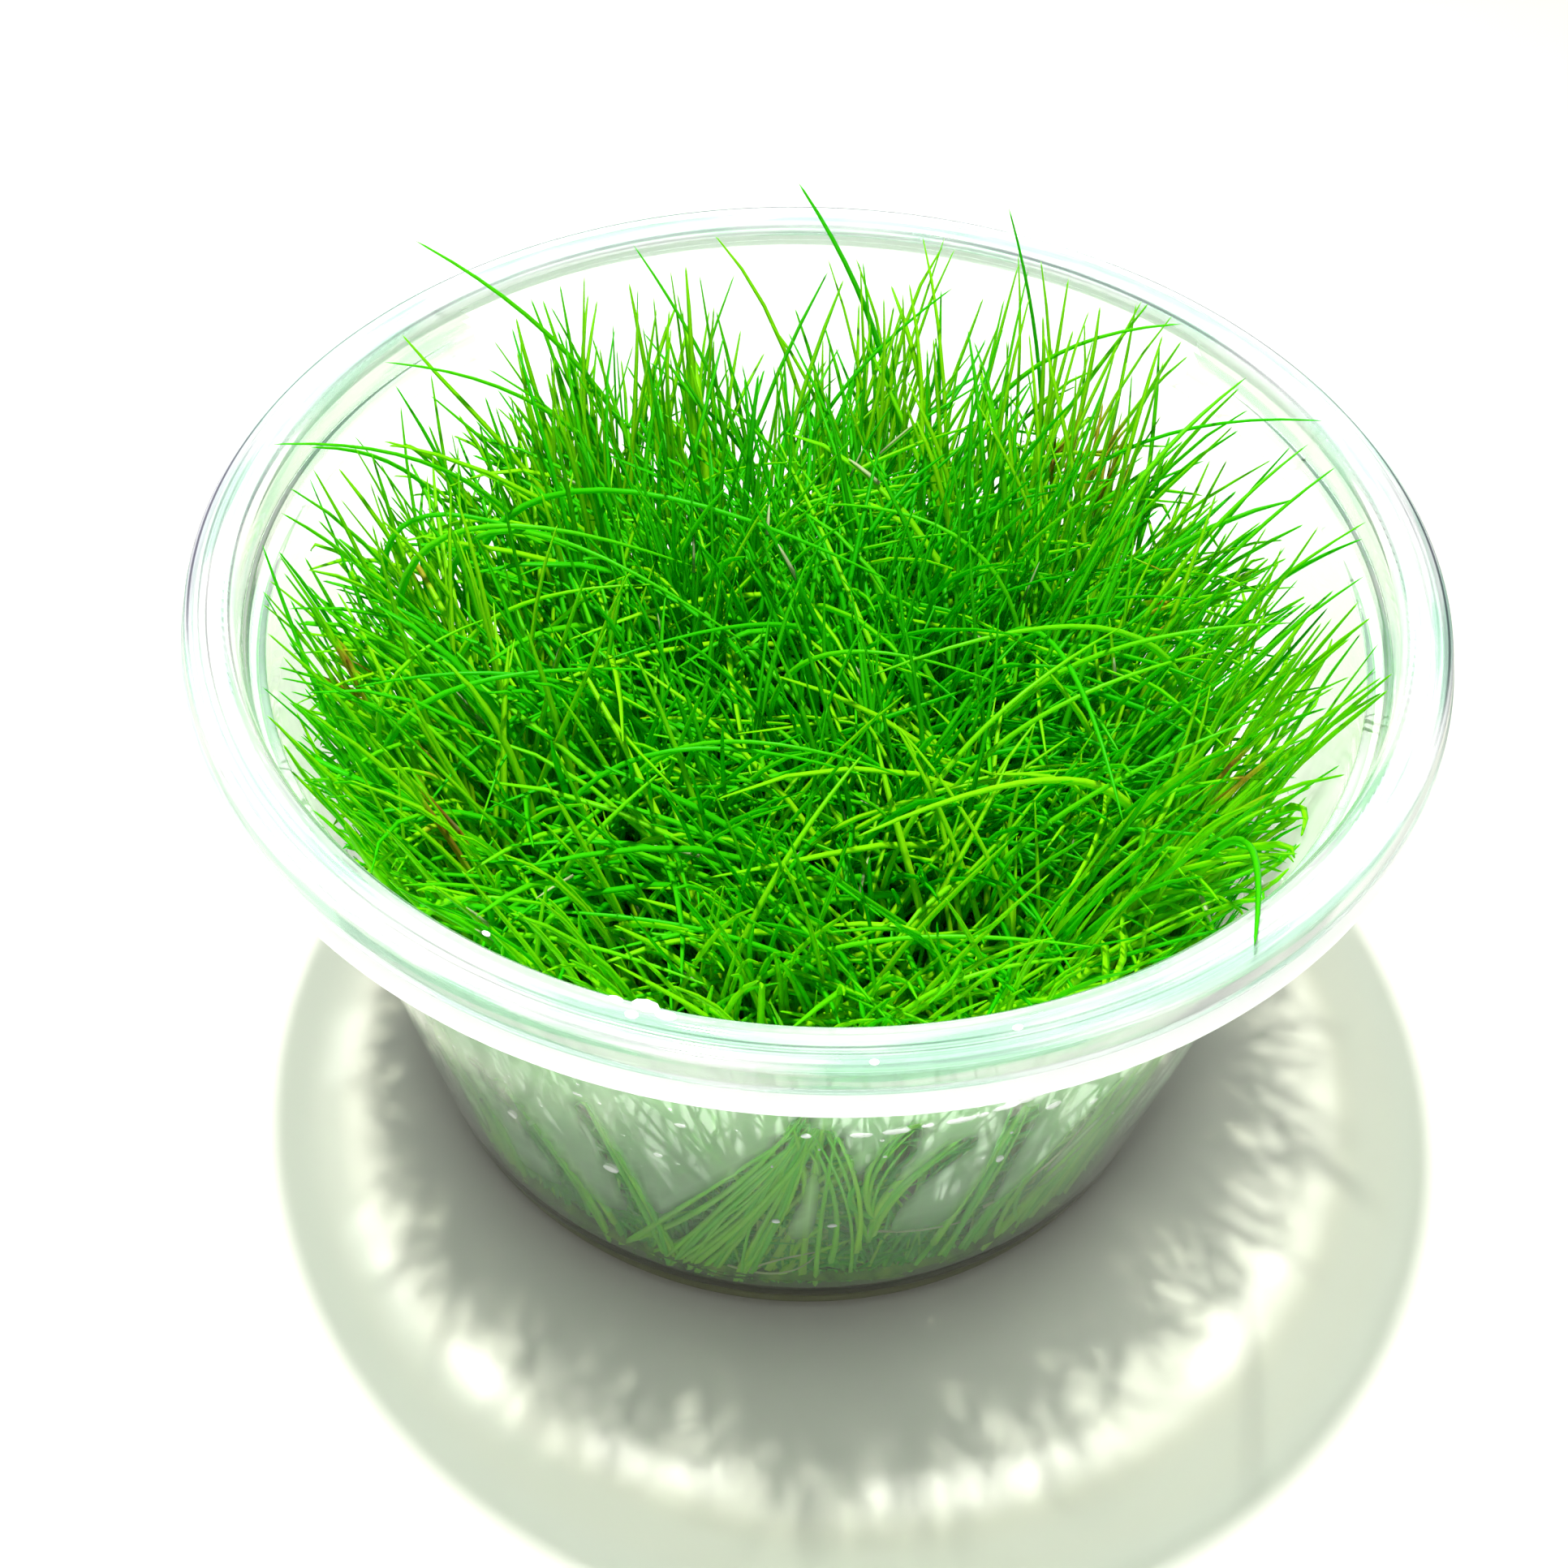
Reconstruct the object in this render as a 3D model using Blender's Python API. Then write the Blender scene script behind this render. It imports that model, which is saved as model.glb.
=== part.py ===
"""Dwarf hairgrass grown in a clear round culture cup.

The cup is one moulded piece: a tapered wall, a narrow ledge below a straight neck, a flat flange
and a skirt that flares down outside it. Inside stand, from below, the nutrient gel, the mat of
felted roots and runners, and separate tufts of grass. Every tuft is one solid: a low crown whose
seven facets are drawn out into tapering, bending locks. A few single leaves that stand out of the
grass are drawn out of their tuft's crown in the same way.

Metres, +Z up. The origin is the middle of the foot, on the surface that the cup stands on.
"""
import math

import bmesh
import bpy
import numpy as np
from mathutils import Vector

MM = 0.001
SEED = 41
SIDES = 48                      # facets around everything that is turned
GAP = 0.3 * MM                  # air between pieces that touch

# The cup
CUP_HEIGHT = 57.2 * MM
SKIRT_RADIUS = 50.0 * MM        # the widest place, at the skirt's lower edge
FLANGE_RADIUS = 49.26 * MM      # where the flange's top turns down into the skirt
SKIRT_DROP = 4.4 * MM
LIP_RADIUS = 45.4 * MM          # the mouth
NECK_RADIUS = 45.0 * MM         # the straight neck under the mouth, inside
NECK_DEPTH = 5.4 * MM
BODY_TOP_RADIUS = 43.95 * MM    # inside, just under the ledge
BODY_FLOOR_RADIUS = 35.9 * MM   # inside, where the wall meets the floor's fillet
WALL = 0.8 * MM
FLOOR_TOP = 1.9 * MM
FLOOR_UNDER = 1.0 * MM
FOOT_INNER_RADIUS = 33.2 * MM
FOOT_OUTER_RADIUS = 35.4 * MM
FLOOR_FILLET = 1.6 * MM
LIP_BEVEL = 0.3 * MM            # where the mouth turns out into the flange
FLANGE_BEVEL = (0.5 * MM, 0.4 * MM)  # across and down, where the flange turns into the skirt
FLANGE_UNDER = 0.4 * MM         # the slope from the flange's underside into the neck
LEDGE_RISE = 0.5 * MM           # the ledge slopes up to the neck inside
LEDGE_FALL = 0.7 * MM           # and down to the body outside
WALL_FOOT = 2.6 * MM            # height at which the outer wall starts to turn in
FOOT_STEP = (0.4 * MM, 0.7 * MM)  # out from the floor's radius, and up, at the foot's outer corner
FOOT_SLOPE = 0.8 * MM
OPEN_AIR = 1.5 * MM             # this far above the cup a leaf may lean out past the neck

# What lies on the cup's floor
GEL_THICKNESS = 2.0 * MM
MAT_THICKNESS = 2.6 * MM
MAT_LUMP = 0.45 * MM
MAT_RINGS = 3                   # rings of corners on the mat's top, for its lumps
MAT_WAVES = (3.1 * MM, 2.6 * MM, 5.3 * MM)
LAYER_BEVEL = 0.4               # of a layer's thickness, at most
BEVEL_RUN = 1.4                 # how much wider than high its lower bevel is
LAYER_DRAFT = 0.1 * MM          # its side stands back this far between the bevels

# The tufts
TUFTS = 38
FIELD_RADIUS = 32.0 * MM        # the outermost crown's middle
SECTORS = 7                     # locks on one crown
CROWN_RADIUS = 3.9 * MM
CROWN_FOOT_RADIUS = 3.2 * MM
CROWN_HEIGHT = 1.8 * MM
CROWN_DOME = 0.6 * MM
FACET_BORDER = 0.22 * MM        # the rim left around each facet before it is drawn out
ROOT_RADIUS = 1.4               # mm, where a lock or long leaf leaves its crown
ROOT_SHARE = 0.58               # of the crown's radius, out to that place
LOCK_RADII = (1.15, 1.05, 0.78)  # mm, at a lock's three rings; its tip is a point
LEAF_RADII = (0.85, 0.7, 0.62, 0.52, 0.36)
LEAF_MARGIN = 0.6 * MM          # from a long leaf's middle line to the wall, less the gap
LOCK_BEND = 3.4 * MM            # how far out of the crown's axis a lock's first ring stands
FIRST_RISE = 7.0 * MM           # and how far above the crown
TIP_HEIGHT = (40.0 * MM, 58.0 * MM)
TIP_REACH = (6.0 * MM, 24.0 * MM)
KNEE_SHARE = (0.35, 0.8)        # how soon a lock leans over: small is late
TURN_SPREAD = 0.9               # radians that a lock turns off its facet's direction
OUTWARD_PULL = 0.75             # how far the outermost locks lean towards the wall: 1 is straight at it
TRIES = 220                     # places tried for a lock, the later ones nearer and lower
LEAST_SHARE = 0.35              # of the reach and height, at the last try
KNEE_RISE = (0.35, 0.75)        # share of the height at the knee: the first, and the second times its lateness

# Single leaves that stand out of the grass: where each is rooted, a point halfway along it and
# its tip, in millimetres.
LONG_LEAVES = (
    ((-14, 24), (-21, 32, 46), (-36.5, 29.5, 64)),
    ((5, 30), (5, 39.5, 47), (-3.7, 42.5, 63.5)),
    ((18, 26), (19.5, 37, 50), (15.4, 40, 63.5)),
    ((12, 27), (23, 34.5, 53), (31, 30.5, 58.5)),
    ((-31, 10), (-27, 15, 47), (7, 8, 46)),
    ((23, -17), (32, -26, 53), (29.5, -38.8, 58.6)),
    ((30, -8), (20, -14.5, 47), (3.4, -25, 51)),
    ((-15, 5), (-12, 7, 33), (-4.6, 10, 53)),
    ((-27, -16), (-36, -14, 40), (-43.3, -4, 58)),
    ((26, 12), (38, 10, 45), (43.0, 3, 58)),
)


def wall_radius(z):
    """Inner radius of the cup at a height: the tapered body, the neck, and open air above."""
    low = FLOOR_TOP + FLOOR_FILLET
    slope = (BODY_TOP_RADIUS - BODY_FLOOR_RADIUS) / (CUP_HEIGHT - NECK_DEPTH - low)
    body = BODY_FLOOR_RADIUS + slope * (z - low)
    neck = np.where(z < CUP_HEIGHT + OPEN_AIR, NECK_RADIUS, SKIRT_RADIUS)
    return np.where(z < CUP_HEIGHT - NECK_DEPTH, np.minimum(body, BODY_TOP_RADIUS), neck)


def arc(centre, radius, start, end, steps):
    """Points (r, z) on an arc, its angles in degrees from the outward direction."""
    angles = [math.radians(start + (end - start) * i / steps) for i in range(steps + 1)]
    return [(centre[0] + radius * math.cos(a), centre[1] + radius * math.sin(a)) for a in angles]


def cup_profile():
    """The cup's section from the middle of the floor's top, out, up, over the flange and back."""
    ledge = CUP_HEIGHT - NECK_DEPTH
    skirt_low = CUP_HEIGHT - SKIRT_DROP
    inside = [(0.0, FLOOR_TOP)]
    inside += arc((BODY_FLOOR_RADIUS - FLOOR_FILLET, FLOOR_TOP + FLOOR_FILLET), FLOOR_FILLET, -90, 0, 2)
    inside += [(BODY_TOP_RADIUS, ledge), (NECK_RADIUS, ledge + LEDGE_RISE)]
    top = [
        (LIP_RADIUS, CUP_HEIGHT - LIP_BEVEL),
        (LIP_RADIUS + LIP_BEVEL, CUP_HEIGHT),
        (FLANGE_RADIUS - FLANGE_BEVEL[0], CUP_HEIGHT),
        (FLANGE_RADIUS, CUP_HEIGHT - FLANGE_BEVEL[1]),
    ]
    skirt = [
        (SKIRT_RADIUS, skirt_low),
        (SKIRT_RADIUS - WALL, skirt_low),
        (FLANGE_RADIUS - WALL, CUP_HEIGHT - WALL),
        (NECK_RADIUS + WALL + FLANGE_UNDER, CUP_HEIGHT - WALL),
        (NECK_RADIUS + WALL, ledge),
        (BODY_TOP_RADIUS + WALL, ledge - LEDGE_FALL),
    ]
    foot = [
        (BODY_FLOOR_RADIUS + WALL, WALL_FOOT),
        (BODY_FLOOR_RADIUS + FOOT_STEP[0], FOOT_STEP[1]),
        (FOOT_OUTER_RADIUS, 0.0),
        (FOOT_INNER_RADIUS, 0.0),
        (FOOT_INNER_RADIUS - FOOT_SLOPE, FLOOR_UNDER),
        (0.0, FLOOR_UNDER),
    ]
    return inside + top + skirt + foot


def turned(profile):
    """A closed mesh made by turning a section that starts and ends on the Z axis."""
    mesh = bmesh.new()
    points = [mesh.verts.new((r, 0.0, z)) for r, z in profile]
    edges = [mesh.edges.new(pair) for pair in zip(points, points[1:])]
    bmesh.ops.spin(
        mesh, geom=points + edges, cent=(0, 0, 0), axis=(0, 0, 1),
        angle=2 * math.pi, steps=SIDES, use_duplicate=False,
    )
    bmesh.ops.remove_doubles(mesh, verts=mesh.verts, dist=1e-6)
    bmesh.ops.recalc_face_normals(mesh, faces=mesh.faces)
    return mesh


def material(name, colour, roughness, transmission=0.0, ior=1.45):
    """A plain finish in the piece's colour."""
    made = bpy.data.materials.new(name)
    made.use_nodes = True
    shader = made.node_tree.nodes["Principled BSDF"]
    shader.inputs["Base Color"].default_value = (*colour, 1.0)
    shader.inputs["Roughness"].default_value = roughness
    shader.inputs["Transmission Weight"].default_value = transmission
    shader.inputs["IOR"].default_value = ior
    made.diffuse_color = (*colour, 1.0)
    return made


def piece(name, mesh, finish):
    """An object from a bmesh, shaded smooth except at its sharp edges."""
    data = bpy.data.meshes.new(name)
    bmesh.ops.triangulate(mesh, faces=mesh.faces)
    mesh.to_mesh(data)
    mesh.free()
    data.materials.append(finish)
    data.shade_smooth()
    data.set_sharp_from_angle(angle=math.radians(35))
    made = bpy.data.objects.new(name, data)
    bpy.context.collection.objects.link(made)
    return made


def filling(bottom, top, lump=0.0):
    """A turned layer that fills the cup from one height to another, clear of the wall."""
    low = float(wall_radius(bottom)) - GAP
    high = float(wall_radius(top)) - GAP
    bevel = min(FLOOR_FILLET, LAYER_BEVEL * (top - bottom))
    profile = [(0.0, bottom), (low - bevel * BEVEL_RUN, bottom), (low - LAYER_DRAFT, bottom + bevel)]
    profile += [(high - LAYER_DRAFT, top - bevel), (high - bevel, top)]
    rings = MAT_RINGS if lump else 0
    profile += [((high - bevel) * (rings - i) / (rings + 1), top) for i in range(rings)]
    mesh = turned(profile + [(0.0, top)])
    for vertex in mesh.verts:
        x, y, z = vertex.co
        if lump and z > top - bevel * 1.1:
            first, second, third = MAT_WAVES
            wave = math.sin(x / first) * math.cos(y / second) + math.sin((x + 2 * y) / third)
            vertex.co.z -= lump * (1 + 0.5 * wave)
    return mesh


def crown_sites():
    """Middles of the crowns, spread evenly over the floor in a sunflower spiral."""
    number = np.arange(TUFTS)
    radius = FIELD_RADIUS * np.sqrt((number + 0.35) / (TUFTS - 0.65))
    angle = number * math.pi * (3 - math.sqrt(5))
    return np.stack([radius * np.cos(angle), radius * np.sin(angle)], axis=1)


def parabola(start, knee, end, count):
    """Points after the first on the curve that leaves start towards knee and ends at end."""
    t = np.arange(1, count + 1)[:, None] / count
    return (1 - t) ** 2 * start + 2 * t * (1 - t) * knee + t ** 2 * end


def held_in(points, margin):
    """Points moved towards the axis where they would pass the cup's inner wall."""
    radius = np.hypot(points[:, 0], points[:, 1])
    most = wall_radius(points[:, 2]) - margin
    scale = np.minimum(1.0, most / np.maximum(radius, 1e-9))
    return np.column_stack([points[:, :2] * scale[:, None], points[:, 2]])


def clearance(a, b):
    """Least gap between two sets of tapered spans, each (start, end, start and end radius)."""
    start_a, end_a, radii_a = (part[:, None] for part in a)
    start_b, end_b, radii_b = (part[None] for part in b)
    along_a, along_b, apart = end_a - start_a, end_b - start_b, start_a - start_b
    aa, bb = (along_a ** 2).sum(-1), (along_b ** 2).sum(-1)
    ab, da, db = ((p * q).sum(-1) for p, q in ((along_a, along_b), (along_a, apart), (along_b, apart)))
    s = np.clip((ab * db - bb * da) / np.maximum(aa * bb - ab * ab, 1e-18), 0, 1)
    t = np.clip((ab * s + db) / bb, 0, 1)
    s = np.clip((ab * t - da) / aa, 0, 1)
    distance = np.linalg.norm(apart + along_a * s[..., None] - along_b * t[..., None], axis=-1)
    radius_a = radii_a[..., 0] + (radii_a[..., 1] - radii_a[..., 0]) * s
    radius_b = radii_b[..., 0] + (radii_b[..., 1] - radii_b[..., 0]) * t
    return distance - radius_a - radius_b


def spans(points, radii):
    """A spine and its radii as spans for clearance."""
    return points[:-1], points[1:], np.stack([radii[:-1], radii[1:]], axis=1)


class Grass:
    """The tufts' spines, kept clear of each other as they are added."""

    def __init__(self, floor):
        self.rng = np.random.default_rng(SEED)
        self.floor = floor
        self.sites = crown_sites()
        self.turns = self.rng.uniform(0, 2 * math.pi / SECTORS, TUFTS)
        self.spines = {}
        self.placed = [np.empty((0, 3)), np.empty((0, 3)), np.empty((0, 2))]
        self.first = np.empty((0, 2), int)
        middle = np.column_stack([self.sites, np.full(TUFTS, floor)])
        top = middle + [0, 0, CROWN_HEIGHT]
        radii = np.full((TUFTS, 2), CROWN_RADIUS)
        self.crowns = (middle, top, radii)

    def root(self, tuft, sector):
        """Where a lock starts on the crown, and where its first ring stands."""
        angle = self.turns[tuft] + (sector + 0.5) * 2 * math.pi / SECTORS
        outward = np.array([math.cos(angle), math.sin(angle), 0.0])
        middle = np.array([*self.sites[tuft], self.floor + CROWN_HEIGHT])
        return middle + outward * CROWN_RADIUS * ROOT_SHARE, middle + outward * LOCK_BEND + [0, 0, FIRST_RISE]

    def fits(self, tuft, points, radii):
        """True if a spine stays clear of the wall, the other crowns and every spine placed."""
        margin = radii[1:-1] + GAP
        inner = points[1:-1]
        if (np.hypot(inner[:, 0], inner[:, 1]) > wall_radius(inner[:, 2]) - margin + 1e-6).any():
            return False
        mine = spans(points, radii)
        others = np.arange(TUFTS) != tuft
        if clearance(mine, tuple(part[others] for part in self.crowns)).min() < GAP:
            return False
        if not len(self.placed[0]):
            return True
        gaps = clearance(mine, self.placed)
        same = self.first[:, 0] == tuft
        gaps[0, same & (self.first[:, 1] == 0)] = 1.0
        return gaps.min() > GAP

    def add(self, tuft, sector, points, radii):
        """Keep a spine and its radii, so that later ones stay clear of it."""
        self.spines[tuft, sector] = (points, radii)
        mine = spans(points, radii)
        self.placed = [np.concatenate(pair) for pair in zip(self.placed, mine)]
        number = np.arange(len(points) - 1)
        self.first = np.concatenate([self.first, np.stack([np.full_like(number, tuft), number], axis=1)])

    def long_leaf(self, rooted, halfway, tip):
        """A single leaf through given places, from the nearest crown's nearest free facet."""
        rooted, halfway, tip = (np.array(place) * MM for place in (rooted, halfway, tip))
        tuft = int(np.argmin(np.linalg.norm(self.sites - rooted, axis=1)))
        free = [s for s in range(SECTORS) if (tuft, s) not in self.spines]
        sector = min(free, key=lambda s: np.linalg.norm(self.root(tuft, s)[1] - halfway))
        start, first = self.root(tuft, sector)
        radii = np.array([ROOT_RADIUS, *LEAF_RADII, 0.0]) * MM
        knee = 2 * halfway - (first + tip) / 2
        rest = held_in(parabola(first, knee, tip, len(LEAF_RADII)), LEAF_MARGIN + GAP)
        self.add(tuft, sector, np.vstack([start, first, rest]), radii)

    def lock(self, tuft, sector):
        """A lock in a random direction that clears everything placed before it."""
        start, first = self.root(tuft, sector)
        radii = np.array([ROOT_RADIUS, *LOCK_RADII, 0.0]) * MM
        outward = first - [*self.sites[tuft], first[2]]
        site = self.sites[tuft] / FIELD_RADIUS
        pull = OUTWARD_PULL * float(site @ site)
        lean = outward[:2] / LOCK_BEND * (1 - pull) + site * pull
        own = math.atan2(lean[1], lean[0])
        for attempt in range(TRIES):
            shrink = 1.0 - (1.0 - LEAST_SHARE) * attempt / TRIES
            angle = own + self.rng.normal(0, TURN_SPREAD)
            reach = self.rng.uniform(*TIP_REACH) * shrink
            height = self.floor + (self.rng.uniform(*TIP_HEIGHT) - self.floor) * shrink
            tip = first + [reach * math.cos(angle), reach * math.sin(angle), 0]
            tip[2] = height
            late = self.rng.uniform(*KNEE_SHARE)
            knee = first + (tip - first) * [1 - late, 1 - late, KNEE_RISE[0] + KNEE_RISE[1] * late]
            rest = held_in(parabola(first, knee, tip, len(LOCK_RADII)), LOCK_RADII[1] * MM + GAP)
            points = np.vstack([start, first, rest])
            if self.fits(tuft, points, radii):
                self.add(tuft, sector, points, radii)
                return


def tuft_mesh(grass, tuft):
    """A crown with seven facets, each drawn out along its spine to a point."""
    mesh = bmesh.new()
    x, y = grass.sites[tuft]
    turn = grass.turns[tuft]

    def ring(radius, z):
        angles = [turn + i * 2 * math.pi / SECTORS for i in range(SECTORS)]
        return [mesh.verts.new((x + radius * math.cos(a), y + radius * math.sin(a), z)) for a in angles]

    low = ring(CROWN_FOOT_RADIUS, grass.floor)
    high = ring(CROWN_RADIUS, grass.floor + CROWN_HEIGHT)
    peak = mesh.verts.new((x, y, grass.floor + CROWN_HEIGHT + CROWN_DOME))
    mesh.faces.new(low[::-1])
    for i in range(SECTORS):
        j = (i + 1) % SECTORS
        mesh.faces.new((low[i], low[j], high[j], high[i]))
    facets = [mesh.faces.new((high[i], high[(i + 1) % SECTORS], peak)) for i in range(SECTORS)]
    bmesh.ops.inset_individual(mesh, faces=facets, thickness=FACET_BORDER)
    for sector, facet in enumerate(facets):
        if (tuft, sector) in grass.spines:
            draw_out(mesh, facet, *grass.spines[tuft, sector])
    bmesh.ops.recalc_face_normals(mesh, faces=mesh.faces)
    return mesh


def draw_out(mesh, facet, points, radii):
    """Extrude a facet from ring to ring along a spine, square to it, and close it at the tip."""
    for i in range(1, len(points)):
        facet = bmesh.ops.extrude_discrete_faces(mesh, faces=[facet])["faces"][0]
        along = Vector(points[min(i + 1, len(points) - 1)] - points[i - 1]).normalized()
        middle = facet.calc_center_median()
        tilt = facet.normal.rotation_difference(along)
        for vertex in facet.verts:
            arm = tilt @ (vertex.co - middle)
            vertex.co = Vector(points[i]) + arm.normalized() * radii[i]
        facet.normal_update()
    bmesh.ops.pointmerge(mesh, verts=list(facet.verts), merge_co=Vector(points[-1]))


def build():
    """Remove what the file holds and make every piece."""
    for old in list(bpy.data.objects):
        bpy.data.objects.remove(old)
    clear = material("clear_plastic", (0.93, 0.97, 0.95), 0.06, 1.0, 1.49)
    jelly = material("culture_gel", (0.82, 0.72, 0.50), 0.2, 0.8, 1.34)
    roots = material("felted_roots", (0.26, 0.22, 0.10), 0.9)
    green = material("leaf_green", (0.10, 0.42, 0.02), 0.45)

    piece("cup", turned(cup_profile()), clear)
    gel_low = FLOOR_TOP + GAP
    gel_high = gel_low + GEL_THICKNESS
    piece("nutrient_gel", filling(gel_low, gel_high), jelly)
    mat_low = gel_high + GAP
    mat_high = mat_low + MAT_THICKNESS
    piece("root_mat", filling(mat_low, mat_high, MAT_LUMP), roots)

    grass = Grass(mat_high + GAP)
    for leaf in LONG_LEAVES:
        grass.long_leaf(*leaf)
    for sector in range(SECTORS):
        for tuft in range(TUFTS):
            if (tuft, sector) not in grass.spines:
                grass.lock(tuft, sector)
    for tuft in range(TUFTS):
        piece(f"tuft_{tuft + 1:02d}", tuft_mesh(grass, tuft), green)
    triangles = sum(len(o.data.polygons) for o in bpy.data.objects)
    print(len(grass.spines), "locks and leaves of", TUFTS * SECTORS, "and", triangles, "triangles")


build()
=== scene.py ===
# %% [markdown]
# A cup of dwarf hairgrass
#
# A clear plastic culture cup stands on a white table. Inside, on a thin layer of gel and a felt of
# roots, grows a dense cushion of hair-thin leaves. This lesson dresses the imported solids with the
# fine forms that solids leave out: single leaves, the rounded rim, and mist on the wall.

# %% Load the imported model
import math

import bpy
import numpy as np
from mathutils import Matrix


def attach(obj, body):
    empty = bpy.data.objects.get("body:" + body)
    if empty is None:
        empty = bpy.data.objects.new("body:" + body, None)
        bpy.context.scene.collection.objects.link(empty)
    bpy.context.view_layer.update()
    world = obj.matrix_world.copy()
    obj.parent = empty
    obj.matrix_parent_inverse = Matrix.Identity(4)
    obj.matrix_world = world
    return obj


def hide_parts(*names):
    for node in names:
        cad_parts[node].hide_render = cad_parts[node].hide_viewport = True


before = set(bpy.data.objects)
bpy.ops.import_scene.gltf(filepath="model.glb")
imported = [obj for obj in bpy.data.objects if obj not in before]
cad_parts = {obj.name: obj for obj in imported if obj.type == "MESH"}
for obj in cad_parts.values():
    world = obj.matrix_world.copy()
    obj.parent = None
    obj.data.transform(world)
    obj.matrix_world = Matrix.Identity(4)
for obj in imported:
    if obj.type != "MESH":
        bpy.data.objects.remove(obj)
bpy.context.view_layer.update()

MM = 0.001
tuft_names = sorted(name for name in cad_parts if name.startswith("tuft_"))

# %% [markdown]
# The place to look from
#
# A photograph taken from close by bends the cup's circles into wide ovals. The camera stands 0.2 m
# away, looks down at a little over 40 degrees, and is held slightly askew, as a hand holds it.

# %% Camera
FOCAL_LENGTH = 44.7205
CAMERA_PLACE = (0.0, -0.116767, 0.159241)
CAMERA_TURN = (0.729351, -0.024418, 0.0461)
lens = bpy.data.cameras.new("camera")
lens.lens = FOCAL_LENGTH
lens.sensor_width = 36.0
lens.clip_start = 0.01
camera = bpy.data.objects.new("camera", lens)
camera.location = CAMERA_PLACE
camera.rotation_euler = CAMERA_TURN
bpy.context.collection.objects.link(camera)
bpy.context.scene.camera = camera
print("camera at", CAMERA_PLACE)

# %% [markdown]
# Helpers for surfaces
#
# Every new piece is a grid of points joined by triangles. One helper numbers the triangles of such
# a grid, another turns arrays into a mesh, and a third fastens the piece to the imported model. Where
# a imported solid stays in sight, the last one gives it its finish.


# %% Grid, mesh and piece
def grid_triangles(rows, columns):
    """Triangles of a grid whose rows run round and close.

    Point (i, j) has number i * columns + j. Each cell gives the triangles (a, b, c) and (a, c, d),
    with a = (i, j), b = (i, j+1), c = (i+1, j+1), d = (i+1, j), and j+1 counted round.
    """
    i, j = np.meshgrid(np.arange(rows - 1), np.arange(columns), indexing="ij")
    k = (j + 1) % columns
    a, b = i * columns + j, i * columns + k
    c, d = b + columns, a + columns
    return np.stack([np.stack([a, b, c], -1), np.stack([a, c, d], -1)], -2).reshape(-1, 3)


def repeated(triangles, count, each):
    """The triangles of one shape for a count of such shapes, which have so many points each."""
    return (triangles[None] + (np.arange(count) * each)[:, None, None]).reshape(-1, 3)


def mesh_from(name, points, triangles, finish):
    """A smooth mesh from an array of points (n, 3) and one of triangles (m, 3)."""
    data = bpy.data.meshes.new(name)
    data.vertices.add(len(points))
    data.vertices.foreach_set("co", np.asarray(points, np.float32).ravel())
    data.loops.add(triangles.size)
    data.loops.foreach_set("vertex_index", triangles.astype(np.int32).ravel())
    data.polygons.add(len(triangles))
    data.polygons.foreach_set("loop_start", np.arange(0, triangles.size, 3, dtype=np.int32))
    data.update(calc_edges=True)
    data.validate()
    data.shade_smooth()
    data.materials.append(finish)
    return data


def dress(name, data, slot, *nodes):
    """Makes an object that rides on the model's body and stands for the given solids."""
    made = bpy.data.objects.new(name, data)
    bpy.context.collection.objects.link(made)
    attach(made, "root")
    if nodes:
        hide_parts(*nodes)


def coat(node, finish):
    """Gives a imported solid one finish."""
    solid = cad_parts[node].data
    solid.materials.clear()
    solid.materials.append(finish)


# %% [markdown]
# Small helpers for materials
#
# Node trees read best when each node is made on one line, with what feeds its inputs. A pattern that
# is long or used twice is a node group with named sockets. Each helper adds its nodes to a tree.


# %% Node helpers
def feed(tree, socket, value):
    """Gives a socket a number, a vector, a colour (r, g, b) or what another socket says."""
    if isinstance(value, bpy.types.NodeSocket):
        tree.links.new(value, socket)
    else:
        socket.default_value = (*value, 1.0) if socket.type == "RGBA" else value


def added(tree, kind, inputs=(), **settings):
    """A new node of a kind, with its settings, whose inputs are fed by name or number."""
    node = tree.nodes.new("ShaderNode" + kind)
    for title, value in settings.items():
        setattr(node, title, value)
    for title, value in dict(inputs).items():
        feed(tree, node.inputs[title], value)
    return node


def new_material(name, values):
    """A material with its node tree, shader and output. Values go to the shader's inputs."""
    made = bpy.data.materials.new(name)
    made.use_nodes = True
    tree = made.node_tree
    shader = tree.nodes["Principled BSDF"]
    for title, value in values.items():
        feed(tree, shader.inputs[title], value)
    return made, tree, shader, tree.nodes["Material Output"]


def new_group(name, inputs, outputs):
    """A node group whose sockets are given as name: type, where a type is Float, Color or Vector."""
    group = bpy.data.node_groups.new(name, "ShaderNodeTree")
    for direction, sockets in (("INPUT", inputs), ("OUTPUT", outputs)):
        for title, kind in sockets.items():
            group.interface.new_socket(title, in_out=direction, socket_type=f"NodeSocket{kind}")
    return group, group.nodes.new("NodeGroupInput"), group.nodes.new("NodeGroupOutput")


def ramp(tree, value, stops):
    """The colour that a value picks from (place, (r, g, b)) stops."""
    node = added(tree, "ValToRGB", {0: value})
    band = node.color_ramp
    while len(band.elements) < len(stops):
        band.elements.new(0.5)
    for element, (place, colour) in zip(band.elements, stops):
        element.position = place
        element.color = (*colour, 1.0)
    return node.outputs[0]


def maths(tree, operation, *values):
    """What a Math node makes of numbers or sockets."""
    return added(tree, "Math", enumerate(values), operation=operation).outputs[0]


def smooth_range(tree, value, low, high, start=0.0, stop=1.0):
    """A number that goes smoothly from start, where a value is low, to stop, where it is high."""
    inputs = {"Value": value, "From Min": low, "From Max": high, "To Min": start, "To Max": stop}
    return added(tree, "MapRange", inputs, interpolation_type="SMOOTHSTEP").outputs[0]


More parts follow.
